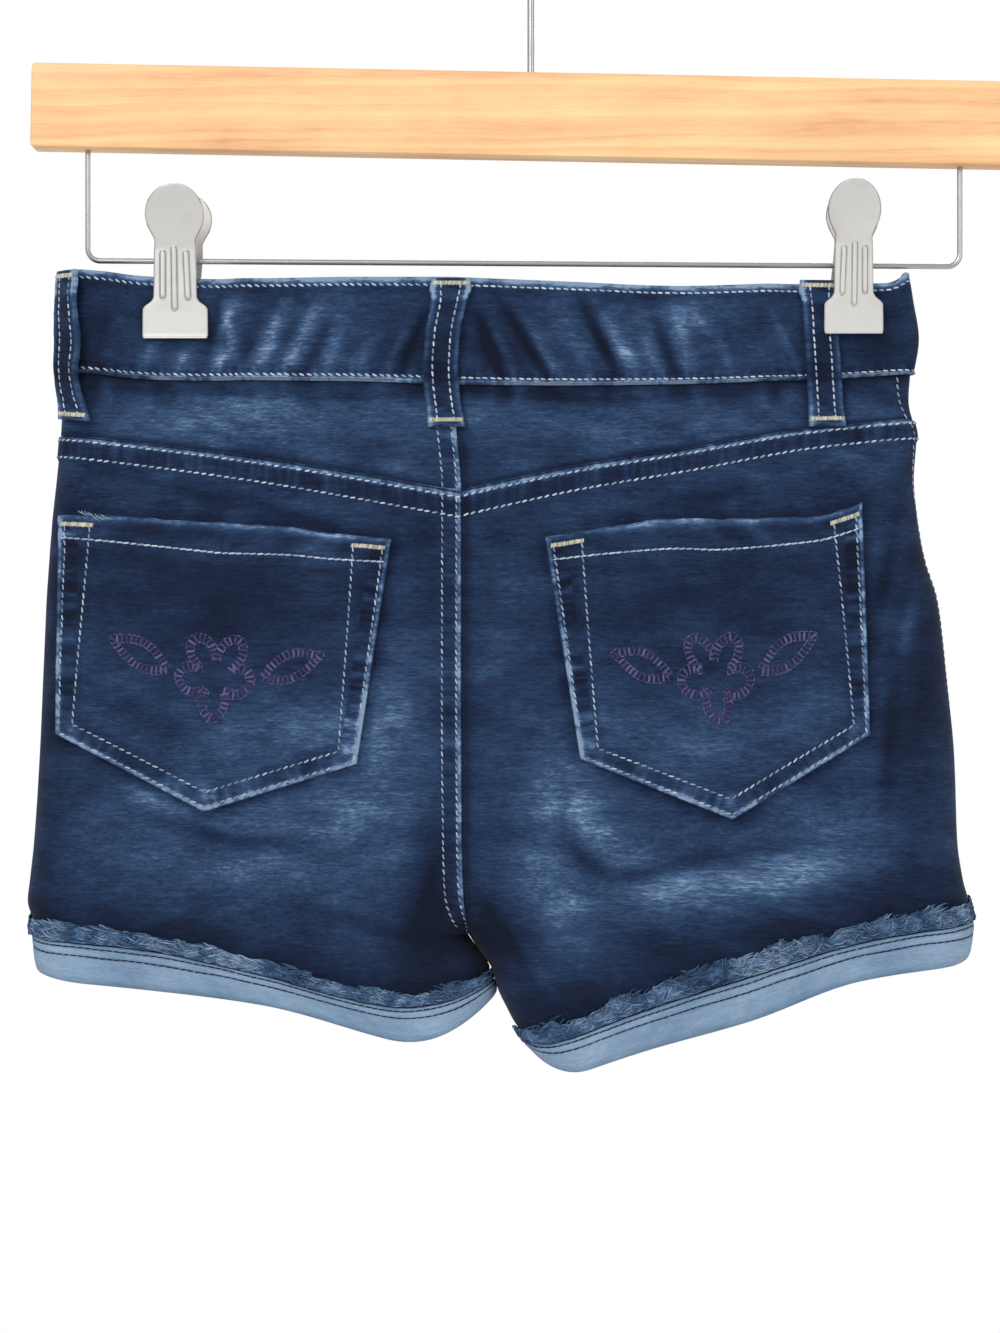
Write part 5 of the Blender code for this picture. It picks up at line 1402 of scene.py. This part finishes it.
def fray_strands(ground, front, wide, tall, rng, first):
    """Loose threads combed along a raw edge in clumps."""
    count = FRAY_STRANDS[front] // 1
    root = rng.uniform(0.002, 0.998, count)
    crest = np.interp(root, FRAY_SHARES, tall)
    foot = rng.uniform(0.02, 0.98, count) * crest
    length = rng.gamma(6.0, 0.5, count) + 1.4
    clump = root * wide + 0.6 * foot
    lie = np.where(wander(clump, 7.0, 98) + rng.normal(0, 0.5, count) > -0.25, 1.0, -1.0)
    turn = np.radians(lie * (84 + 20 * wander(clump, 4.0, 99) + rng.normal(0, 12, count)))
    curl = np.radians(40 * wander(clump, 2.4, 102) + rng.normal(0, 34, count))
    t = np.linspace(0, 1, STRAND_POINTS)[None]
    angle = turn[:, None] + curl[:, None] * t
    step = length[:, None] / (STRAND_POINTS - 1)
    up = foot[:, None] + np.cumsum(np.cos(angle) * step, 1) - np.cos(angle[:, :1]) * step
    side = np.cumsum(np.sin(angle) * step, 1) - np.sin(angle[:, :1]) * step
    up = np.clip(up, 0.0, crest[:, None] + 0.4)
    lift, bow = rng.uniform(1.5, 2.5, count), rng.uniform(-0.3, 0.7, count)
    lift = lift[:, None] + bow[:, None] * np.sin(np.pi * t)
    lift = lift * (1 - 0.45 * np.clip(up / crest[:, None], 0, 1.2) ** 2)
    lift = lift * (1 - 0.75 * bell(np.minimum(root, 1 - root)[:, None] * wide, 2.0))
    at = np.clip(root[:, None] + side / wide, 0.001, 0.999)
    line, normals = ground.at(V_CUFF - 0.003 - up * FRAY_PER_MM, at)
    thick = rng.uniform(0.14, 0.34, count)[:, None] * np.sin(np.pi * (0.12 + 0.82 * t)) ** 0.7
    points, faces = strand_mesh(line + normals * lift[..., None], normals, thick, first)
    tone = 0.5 + 0.24 * wander(clump, 2.4, 100) + 0.12 * wander(clump, 11.0, 101)
    tone = np.clip(tone + rng.normal(0, 0.1, count), 0.05, 1)
    return points, faces, np.repeat(tone, STRAND_POINTS * STRAND_SIDES)


def build_fray():
    """Washed raw edges: a matted strip under many loose threads."""
    rng = np.random.default_rng(5)
    for half, front in SIDES:
        ends, s = spread_out(half, front, FRAY_GROUND, 200)
        ground = Sheet(FRAY_GROUND, on_rows(half, FRAY_GROUND, s), way_of(half))
        wide = ends[0, 1] - ends[0, 0]
        tall, strip, tones = fray_strip(ground, front, wide)
        first = strip[..., 0].size
        points, faces, more_tones = fray_strands(ground, front, wide, tall, rng, first)
        points = np.concatenate([strip.reshape(-1, 3), points])
        faces = closed_strip(strip, half == "left") + faces
        marks = {"tone": np.concatenate([tones, more_tones])}
        name = "fray_" + side_name(half, front)
        add_piece(name + "_threads", points, faces, [FLUFF], name, None, marks)


# ---- sewing

YOKE_ROWS = (1.9, 9.1)  # rows of stitches below the yoke seam
MANY = np.linspace(0.001, 0.999, 400)  # shares across a piece, for a row right across it
ROW_TOP = 0.045  # where the side rows of a pocket begin, as a share of its height
TACKED = np.linspace(0, 1, 20)  # points along a bar tack


def run(sheet, rows, shares):
    """A run of stitches at rows and shares across a piece."""
    return SHEETS[sheet].at(rows, shares)


def edge_run(sheet, half, v, s):
    """A run of stitches on the back, at arcs s of the rows v."""
    return run(sheet, v, s / column(seam_arc, half, v)[:, 0])


def pocket_rows(half):
    """The outer and inner rows of a pocket's sides and foot, as corners (p, q)."""
    tip = pocket_tip(half)
    top, side, foot = OUTER_TOP / POCKET_WIDE, OUTER_ROW / POCKET_WIDE, 1 - OUTER_ROW / POCKET_TALL
    outer = [(top, ROW_TOP), (side, foot), (tip, foot), (1 - side, foot), (1 - top, ROW_TOP)]
    a_top, b_top = INNER_ROW["side_top"] / POCKET_WIDE
    a_low, b_low = INNER_ROW["side_low"] / POCKET_WIDE
    a_foot, b_foot = 1 - INNER_ROW["foot"] / POCKET_TALL
    inner = [(a_top, ROW_TOP), (a_low, a_foot), (tip, a_foot + 0.012)]
    return outer, inner + [(1 - b_low, b_foot), (1 - b_top, ROW_TOP)]


def pocket_line(half, corners):
    """Points and normals along straight pieces between (p, q) corners."""
    lines = []
    for (p0, q0), (p1, q1) in zip(corners[:-1], corners[1:]):
        t = np.linspace(0, 1, 60)
        lines.append(run("back_pocket_" + half, q0 + (q1 - q0) * t, p0 + (p1 - p0) * t))
    return lines


def belt_loops():
    return [sheet for name, sheet in SHEETS.items() if name.startswith("belt_loop")]


def sew_panels():
    """The rows along the waistband, the yokes, the centre seam and the sides."""
    for half, lean in (("left", -26.0), ("right", 8.0)):
        runs = [run("waistband_" + half, down / BAND_DEEP * V_WAIST, MANY) for down in BAND_ROWS]
        settings = dict(seed=2, tone=(0.45, 1.0), lean=lean * way_of(half), size=(1.95, 0.74, 0.5))
        stitches("stitching_waistband_" + half, runs, **settings)

    runs = []
    for half in HALVES:
        runs += [run("back_panel_" + half, V_YOKE + below / YOKE_MM, MANY) for below in YOKE_ROWS]
    stitches("stitching_yoke_seams", runs, seed=3, pitch=2.7, tone=(0.35, 1.0), size=(1.95, 0.7, 0.5))

    runs = []
    on_yoke = np.linspace(V_WAIST + 0.002, V_YOKE - 0.002, 40)
    for s, end in ((1.9, 0.795), (7.0, 0.768)):
        runs.append(edge_run("yoke_left", "left", on_yoke, s))
        runs.append(edge_run("back_panel_left", "left", np.linspace(V_YOKE + 0.006, end, 160), s))
    for half, inset in (("left", 2.2), ("right", 6.7)):
        runs.append(edge_run("yoke_" + half, half, on_yoke, column(seam_arc, half, on_yoke)[:, 0] - inset))
    v = np.linspace(V_YOKE + 0.006, 0.62, 120)
    for half, inset in (("left", 2.2), ("right", 6.4)):
        s = column(seam_arc, half, v)[:, 0] - inset * (1 - 0.8 * ease((v - V_YOKE) / 0.3))
        runs.append(edge_run("back_panel_" + half, half, v, s))
    stitches("stitching_centre_and_sides", runs, seed=4, tone=(0.1, 0.75), size=(1.95, 0.64, 0.5))


def sew_pieces():
    """The rows on the pockets, the belt loops, the cuffs and the fly."""
    runs, hems = [], []
    for half in HALVES:
        outer, inner = pocket_rows(half)
        runs += pocket_line(half, outer) + pocket_line(half, inner)
        at = POCKET_HEM / POCKET_TALL
        hems += pocket_line(half, [(0.012, at), (0.988, at)])
    stitches("stitching_pockets", runs, seed=5, tone=(0.15, 0.8), size=(2.05, 0.64, 0.5))
    settings = dict(seed=6, pitch=2.5, tone=(0.4, 0.95), lean=6.0, size=(2.5, 0.68, 0.5))
    stitches("stitching_pocket_hems", hems, **settings)

    runs = []
    for sheet in belt_loops():
        down = np.linspace(sheet.rows[0] + 1.6, sheet.rows[-1] - 1.6, 50)
        runs += [sheet.at(down, share) for share in (0.27, 0.73)]
    stitches("stitching_belt_loops", runs, seed=7, lean=5.0, size=(1.95, 0.7, 0.5))

    runs = []
    for half, front in SIDES:
        for k, at in enumerate(CUFF_ROWS):
            line = at + 0.02 * wander(MANY * 168, 9.0, 111 + k)
            runs.append(run("cuff_" + side_name(half, front), line, MANY))
    stitches("stitching_cuffs", runs, NAVY, seed=8, lean=3.0, size=(2.7, 0.55, 0.3))

    runs = []
    built_share = (FLY_COLUMNS - 1) / (FLY_COLUMNS + FLY_LAP_COLUMNS - 1)
    for inset in (3.0, 9.0):
        v = np.linspace(V_WAIST + 0.01, FLY_BOTTOM - 0.012 - inset * 0.0016, 120)
        runs.append(run("fly", v, (1 - (fly_width(v) - inset) / fly_width(v)) * built_share))
    stitches("stitching_fly", runs, seed=9)


def build_tacks():
    """Bar tacks: dense short threads across their line, at loop ends and pocket corners."""
    runs = []
    for sheet in belt_loops():
        for down in (sheet.rows[0] + 2.0, sheet.rows[-1] - 2.4):
            runs.append(sheet.at(down, 0.05 + 0.9 * TACKED))
    for half in HALVES:
        for low, high in ((0.014, 0.118), (0.898, 0.99)):
            runs.append(run("back_pocket_" + half, 0.042, low + (high - low) * TACKED))
    settings = dict(seed=10, pitch=0.42, tone=(0.25, 1.0), lean=74.0, size=(1.7, 0.5, 0.6))
    stitches("bar_tacks", runs, TACK, **settings)


# Thread ends: the first one's place, the step to the next, and their length, turn and curl in degrees
LOOSE = dict(x=-160.6, down=237.8, step_x=1.05, step_down=0.24, count=9, length=4.2, turn=150, curl=-58)
LOOSE_LIFT, LOOSE_THICK, LOOSE_STEPS = 2.2, 0.19, 8


def build_loose_threads():
    """Pale thread ends at the outer top corner of the left pocket."""
    rng = np.random.default_rng(12)
    ends = []
    for n in range(LOOSE["count"]):
        x = LOOSE["x"] + n * LOOSE["step_x"] + rng.uniform(-0.15, 0.15)
        down = LOOSE["down"] + n * LOOSE["step_down"] + rng.uniform(-0.3, 0.3)
        length = LOOSE["length"] * rng.uniform(0.8, 1.15)
        turn = LOOSE["turn"] + rng.uniform(-7, 7)
        ends.append([x, down, length, turn, LOOSE["curl"] * rng.uniform(0.8, 1.2)])
    x, down, length, turn, curl = np.array(ends).T[..., None]
    t = np.linspace(0, 1, LOOSE_STEPS + 1)[None]
    angle = np.radians(turn + curl * t)
    step = length / LOOSE_STEPS
    along, up = np.cumsum(np.sin(angle) * step, 1), np.cumsum(np.cos(angle) * step, 1)
    line, normals = back_surface(x + along, up - down)
    line = line + normals * (LOOSE_LIFT + 0.5 * np.sin(np.pi * t))[..., None]
    points, faces = strand_mesh(line, normals, LOOSE_THICK * (1 - 0.6 * t), 0)
    tone = np.repeat(rng.uniform(0.75, 1.0, len(x)), len(points) // len(x))
    add_piece("loose_threads", points, faces, [FLUFF], marks={"tone": tone})


def flower(petals, inner, outer, count=180):
    turn = np.linspace(0, 2 * math.pi, count)
    reach = inner + (outer - inner) * np.abs(np.sin(petals * turn / 2)) ** 0.7
    return np.stack([reach * np.sin(turn), reach * np.cos(turn)], 1)


def leaf(x, y, length, width, turn):
    """A pointed leaf's outline from its stalk end at (x, y)."""
    t = np.linspace(0, 1, 60)
    out = np.stack([t * length, width / 2 * np.sin(math.pi * t)], 1)
    back = np.stack([(1 - t) * length, -width / 2 * np.sin(math.pi * t)], 1)
    line = np.concatenate([out, back[1:]])
    c, s = math.cos(math.radians(turn)), math.sin(math.radians(turn))
    return np.stack([x + line[:, 0] * c - line[:, 1] * s, y + line[:, 0] * s + line[:, 1] * c], 1)


MOTIF = [flower(5, 5.0, 13.5), leaf(17, -2, 21, 9, 14), leaf(-17, -2, 21, 9, 166)]
MOTIF_P, MOTIF_Q = 0.5, 0.53  # its middle on a pocket
MOTIF_EDGE = 1.45  # from the middle of a bar to the small stitches at its ends


def build_embroidery():
    """A plain flower between two leaves on each back pocket, in purple ladder stitch."""
    bars, dots = [], []
    for half in HALVES:
        for line in MOTIF:
            ahead = unit(np.gradient(line, axis=0))
            side = np.stack([-ahead[:, 1], ahead[:, 0]], 1)
            for offset, group in ((0.0, bars), (MOTIF_EDGE, dots), (-MOTIF_EDGE, dots)):
                right, up = (line + side * offset).T
                q, p = MOTIF_Q - up / POCKET_TALL, MOTIF_P + right / POCKET_WIDE
                group.append(run("back_pocket_" + half, q, p))
    stitches("pocket_embroidery", bars, PURPLE, seed=11, pitch=1.7, lean=88.0, size=(3.0, 1.0, 0.5))
    stitches("pocket_embroidery_rows", dots, PURPLE, seed=12, pitch=1.7, lean=0.0, size=(1.4, 0.55, 0.4))


# ---- hanger

TILT = math.radians(1.1)
BAR = dict(length=358.6, height=30.2, depth=12.0, top=-80.6, corner=1.6, rim=0.8)
WIRE_RADIUS, HOOK_RADIUS, HOOK_BEND = 1.0, 1.3, 19.0
FRAME = dict(left=-159.5, right=154.4, left_low=-147.6, right_low=-149.6, bend=4.5)
SUNK = 3.0  # how deep the wires stand in the bar
KNEE_Z = -49.0  # where the hook's stem begins to swing out
HOOK_FROM, HOOK_TO = -58, 205  # degrees round the hook's bend


def bar_face(x, top):
    return BAR["top"] - (0 if top else BAR["height"]) - math.tan(TILT) * x


def set_in(size, radius, past):
    """Half a size, drawn in along a quarter circle of this radius by how far x is past its start."""
    past = np.maximum(past, 0)
    return size / 2 - (radius - np.sqrt(np.maximum(radius**2 - past**2, 0)))


def build_bar():
    """The wooden bar, its edges eased and its corners a little rounded."""
    half_long, corner, rim = BAR["length"] / 2, BAR["corner"], BAR["rim"]
    end = half_long - corner * (1 - np.sin(np.linspace(0, math.pi / 2, 12)))
    x = np.concatenate([-end[::-1], np.linspace(-end[0], end[0], 40)[1:-1], end])
    high = set_in(BAR["height"], corner, np.abs(x) - (half_long - corner))
    deep = set_in(BAR["depth"], rim, np.abs(x) - (half_long - rim))
    turns = np.radians(np.linspace(0, 90, 5))
    quarter = np.stack([np.cos(turns), np.sin(turns)], 1)
    rings = []
    for sign_y, sign_z in ((1, 1), (-1, 1), (-1, -1), (1, -1)):
        for cos_part, sin_part in quarter if sign_y == sign_z else quarter[::-1]:
            y = sign_y * (deep - rim + rim * cos_part)
            z = sign_z * (high - rim + rim * sin_part)
            rings.append((x, y, z))
    x, y, z = np.array(rings).transpose(1, 0, 2)
    c, s = math.cos(TILT), math.sin(TILT)
    placed = np.stack([x * c + z * s, y, z * c - x * s + (BAR["top"] - BAR["height"] / 2)], -1)
    faces = closed_strip(placed, True)
    piece = add_piece("hanger_bar_wood", placed.reshape(-1, 3), faces, [WOOD], "hanger_bar")
    piece.data.set_sharp_from_angle(angle=math.radians(40))


def rod(node, path, radius, sides=16):
    """A round wire through a path in the plane y = 0."""
    path = np.array(path, float)[None]
    up = np.zeros(path.shape) + (0.0, 1.0, 0.0)
    side = np.cross(unit(np.gradient(path, axis=1)), up)
    points, faces = tubes(path, side, up, np.full(path.shape[:2], radius), sides)
    add_piece(node + "_steel", points, faces, [WIRE], node)


def arc_path(cx, cz, radius, start, end, steps):
    turns = np.radians(np.linspace(start, end, steps))
    return [(cx + radius * math.cos(a), 0.0, cz + radius * math.sin(a)) for a in turns]


def line_path(x, z_from, z_to, steps):
    return [(x, 0.0, z_from + (z_to - z_from) * t) for t in np.linspace(0, 1, steps)]


def build_wires():
    """The frame wire below the bar, and the hook with its stem."""
    left, right, bend = FRAME["left"], FRAME["right"], FRAME["bend"]
    left_bend, right_bend = FRAME["left_low"] + bend, FRAME["right_low"] + bend
    path = line_path(left, bar_face(left, False) + SUNK, left_bend + 0.5, 8)
    path += arc_path(left + bend, left_bend, bend, 180, 270, 14)
    path += arc_path(right - bend, right_bend, bend, 270, 360, 14)
    path += line_path(right, right_bend + 0.5, bar_face(right, False) + SUNK, 8)
    rod("hanger_frame_wire", path, WIRE_RADIUS)

    ring = arc_path(0, -HOOK_BEND, HOOK_BEND + HOOK_RADIUS, HOOK_FROM, HOOK_TO, 70)
    stem = line_path(0.0, bar_face(0, True) - SUNK, KNEE_Z - 1.0, 12)
    x, _, z = ring[0]
    swing = []
    for t in np.linspace(0, 0.93, 14):
        swing.append((x * (3 * t**2 - 2 * t**3) * (0.55 + 0.45 * t), 0.0, KNEE_Z + (z - KNEE_Z) * t))
    rod("hanger_hook", stem + swing + ring, HOOK_RADIUS)


PLATE = table(
    "down half_width face",
    [
        (0, 2.6, 11.2), (1.2, 5.6, 10.9), (4.2, 8.9, 9.8), (7.6, 10.3, 8.6), (10.6, 10.6, 7.7),
        (14, 10, 6.8), (17.2, 8.4, 6.2), (19.6, 7.4, 5.8), (23, 7.6, 5.3), (29, 7.7, 5.2), (39.6, 7.9, 5.2),
        (41.4, 8.9, 5.2), (43, 11, 5.2), (44.2, 11.7, 5.2), (53.2, 11.8, 5.2), (54.6, 11.4, 5.9),
    ],
)
PLATE_TOP_END, PLATE_ROWS, PLATE_TOP_ROWS = 2.2, 80, 8
PLATE_ACROSS = np.linspace(-1, 1, 73)
PLATE_WALL = 1.0
PLATE_RIM = 0.28
HEAD_CENTRE, HEAD_RADIUS = 10.4, 10.6
BODY_FROM, HEAD_TO = 14, 17.5  # between them a plate is as wide as the wider of the two
RIBS = table(
    "top_x top bottom_x bottom",
    [(-4.4, 24.2, -4.4, 39.2), (-0.4, 22.8, -0.1, 43.4), (3.9, 24.2, 4.6, 39.6)],
)
RIB_HALF, RIB_PROUD = 0.95, 0.55
# Top of each clip, its width as a share of the plate's, and how far its back plate stands out
CLIP_FIT = {"left": (-121.6, 1.0, 0.0), "right": (-120.1, 0.9, 2.2)}
JAW_OFFSET = 1.3  # how far the far plate stands to the right of the near one
COIL = dict(radius=4.7, half_length=6.0, turns=8.5, steps=190, wire=0.55, sides=8)


def wire_height(x):
    share = (x - FRAME["left"]) / (FRAME["right"] - FRAME["left"])
    return FRAME["left_low"] + (FRAME["right_low"] - FRAME["left_low"]) * share


def plate_half_width(down):
    """Round head, straight body, and shoulders that widen to the jaw."""
    head = np.sqrt(np.maximum(HEAD_RADIUS**2 - (down - HEAD_CENTRE) ** 2, 0.04))
    body = read(PLATE, down, "half_width")
    return np.where(down < HEAD_TO, np.maximum(head, np.where(down > BODY_FROM, body, 0)), body)


def from_ribs(x, down):
    """Distance to the nearest pressed rib's middle line."""
    nearest = np.full(np.shape(x), np.inf)
    for top_x, top, bottom_x, bottom in zip(*RIBS.values()):
        share = np.clip((down - top) / (bottom - top), 0, 1)
        away = np.hypot(x - (top_x + (bottom_x - top_x) * share), down - (top + share * (bottom - top)))
        nearest = np.minimum(nearest, away)
    return nearest


def build_plate(side, x, front):
    """One plate of a clip, with three pressed ribs, and painted shade in their grooves and along its rim.
    """
    top, wide, over_loop = CLIP_FIT[side]
    top_rows = np.linspace(0.0, PLATE_TOP_END, PLATE_TOP_ROWS + 1)[:-1]
    down = np.concatenate([top_rows, np.linspace(PLATE_TOP_END, PLATE["down"][-1], PLATE_ROWS)])
    half = plate_half_width(down)[:, None]
    flat_x = PLATE_ACROSS * half
    deep = np.broadcast_to(down[:, None], flat_x.shape)
    face = read(PLATE, deep, "face") + (0 if front else over_loop)
    face = face + 0.35 * (1 - PLATE_ACROSS**2) * ease((46 - deep) / 8)
    away = from_ribs(flat_x if (side == "left") != bool(front) else -flat_x, deep)
    rib = RIB_PROUD * (1 - ease((away - RIB_HALF + 0.45) / 0.7))
    placed_x = x + flat_x * wide + JAW_OFFSET * front * ease((40 - deep) / 20)
    way = 1 if front else -1
    faces = [np.stack([placed_x, way * out, top - deep], -1) for out in (face + PLATE_WALL + rib, face)]
    # painted shade: dark lines in the grooves beside the ribs and along the plate's rim
    groove_shade = 0.85 * bell(away - RIB_HALF - 0.1, 0.3)
    rim = 0.45 * bell((1 - np.abs(PLATE_ACROSS)) * half, 0.5)
    marks = {"shade": np.maximum(groove_shade, rim)}
    node = "clip_" + side + ("_front" if front else "_back")
    uv = np.stack([flat_x, -deep], -1)
    shell(node + "_plate", *faces, [STEEL, STEEL], "clip_steel", node, marks, uv, PLATE_RIM)


def build_coil(side, x):
    """The spring of a clip, wound round the frame wire."""
    z = wire_height(x)
    t = np.linspace(0, 1, COIL["steps"])
    angle = t * COIL["turns"] * 2 * math.pi
    out = np.stack([np.zeros(len(t)), np.cos(angle), np.sin(angle)], 1)[None]
    along = (t * 2 - 1) * (COIL["half_length"] - COIL["wire"])
    line = out * (COIL["radius"] - COIL["wire"]) + np.stack([x + along, 0 * t, z + 0 * t], 1)
    beside = np.cross(unit(np.gradient(line, axis=1)), out)
    points, faces = tubes(line, out, beside, np.full(line.shape[:2], COIL["wire"]), COIL["sides"])
    node = "clip_" + side + "_spring"
    add_piece(node + "_coil", points, faces, [STEEL], node)


build_panels()
build_waistband()
build_pockets()
build_loops()
build_fly()
build_button()
build_cuffs()
build_fray()
sew_panels()
sew_pieces()
build_tacks()
build_loose_threads()
build_embroidery()
build_bar()
build_wires()
for clip_side, clip_x in zip(CLIP_FIT, CLIPS["x"]):
    build_plate(clip_side, clip_x, 0)
    build_plate(clip_side, clip_x, 1)
    build_coil(clip_side, clip_x)

# ---- floor, light and background

FLOOR_Z, FLOOR_HALF = -1.3, 2.2
CORNERS = ((-1, -1), (1, -1), (1, 1), (-1, 1))
floor_mesh = bpy.data.meshes.new("floor")
floor_mesh.from_pydata([(x * FLOOR_HALF, y * FLOOR_HALF, FLOOR_Z) for x, y in CORNERS], [], [(0, 1, 2, 3)])
floor = bpy.data.objects.new("floor", floor_mesh)
floor_mesh.materials.append(new_material("floor", Base_Color=(0.86, 0.86, 0.86, 1.0), Roughness=0.9)[0])
bpy.context.scene.collection.objects.link(floor)

LIGHTS = [
    ("key", (-0.9, -1.5, 0.75), 1.3, 19.0),
    ("fill", (1.3, -1.2, -0.1), 1.4, 7.0),
    ("behind", (0.6, 1.6, 0.7), 1.5, 16.0),
]
AIM = np.array([0.0, 0.0, -0.28])
for name, place, size, watts in LIGHTS:
    lamp = bpy.data.lights.new(name, "AREA")
    lamp.shape = "DISK"
    lamp.size = size
    lamp.energy = watts
    obj = bpy.data.objects.new(name, lamp)
    obj.location = place
    way = AIM - np.array(place)
    obj.rotation_euler = (math.acos(-way[2] / np.linalg.norm(way)), 0.0, math.atan2(-way[0], way[1]))
    bpy.context.scene.collection.objects.link(obj)

AMBIENT, BACKGROUND = 0.55, 1.0
WHITE = (1, 1, 1, 1)
world = bpy.data.worlds.new("studio")
bpy.context.scene.world = world
world.use_nodes = True
tree = world.node_tree
shown = tree.nodes["Background"]
shown.inputs["Color"].default_value = WHITE
shown.inputs["Strength"].default_value = BACKGROUND
lit = put(tree, "ShaderNodeBackground", {"Color": WHITE, "Strength": AMBIENT})
seen = put(tree, "ShaderNodeLightPath").outputs["Is Camera Ray"]
mixed = put(tree, "ShaderNodeMixShader", {0: seen, 1: lit.outputs[0], 2: shown.outputs[0]})
tree.links.new(mixed.outputs[0], tree.nodes["World Output"].inputs["Surface"])
bpy.context.scene.view_settings.view_transform = "Standard"
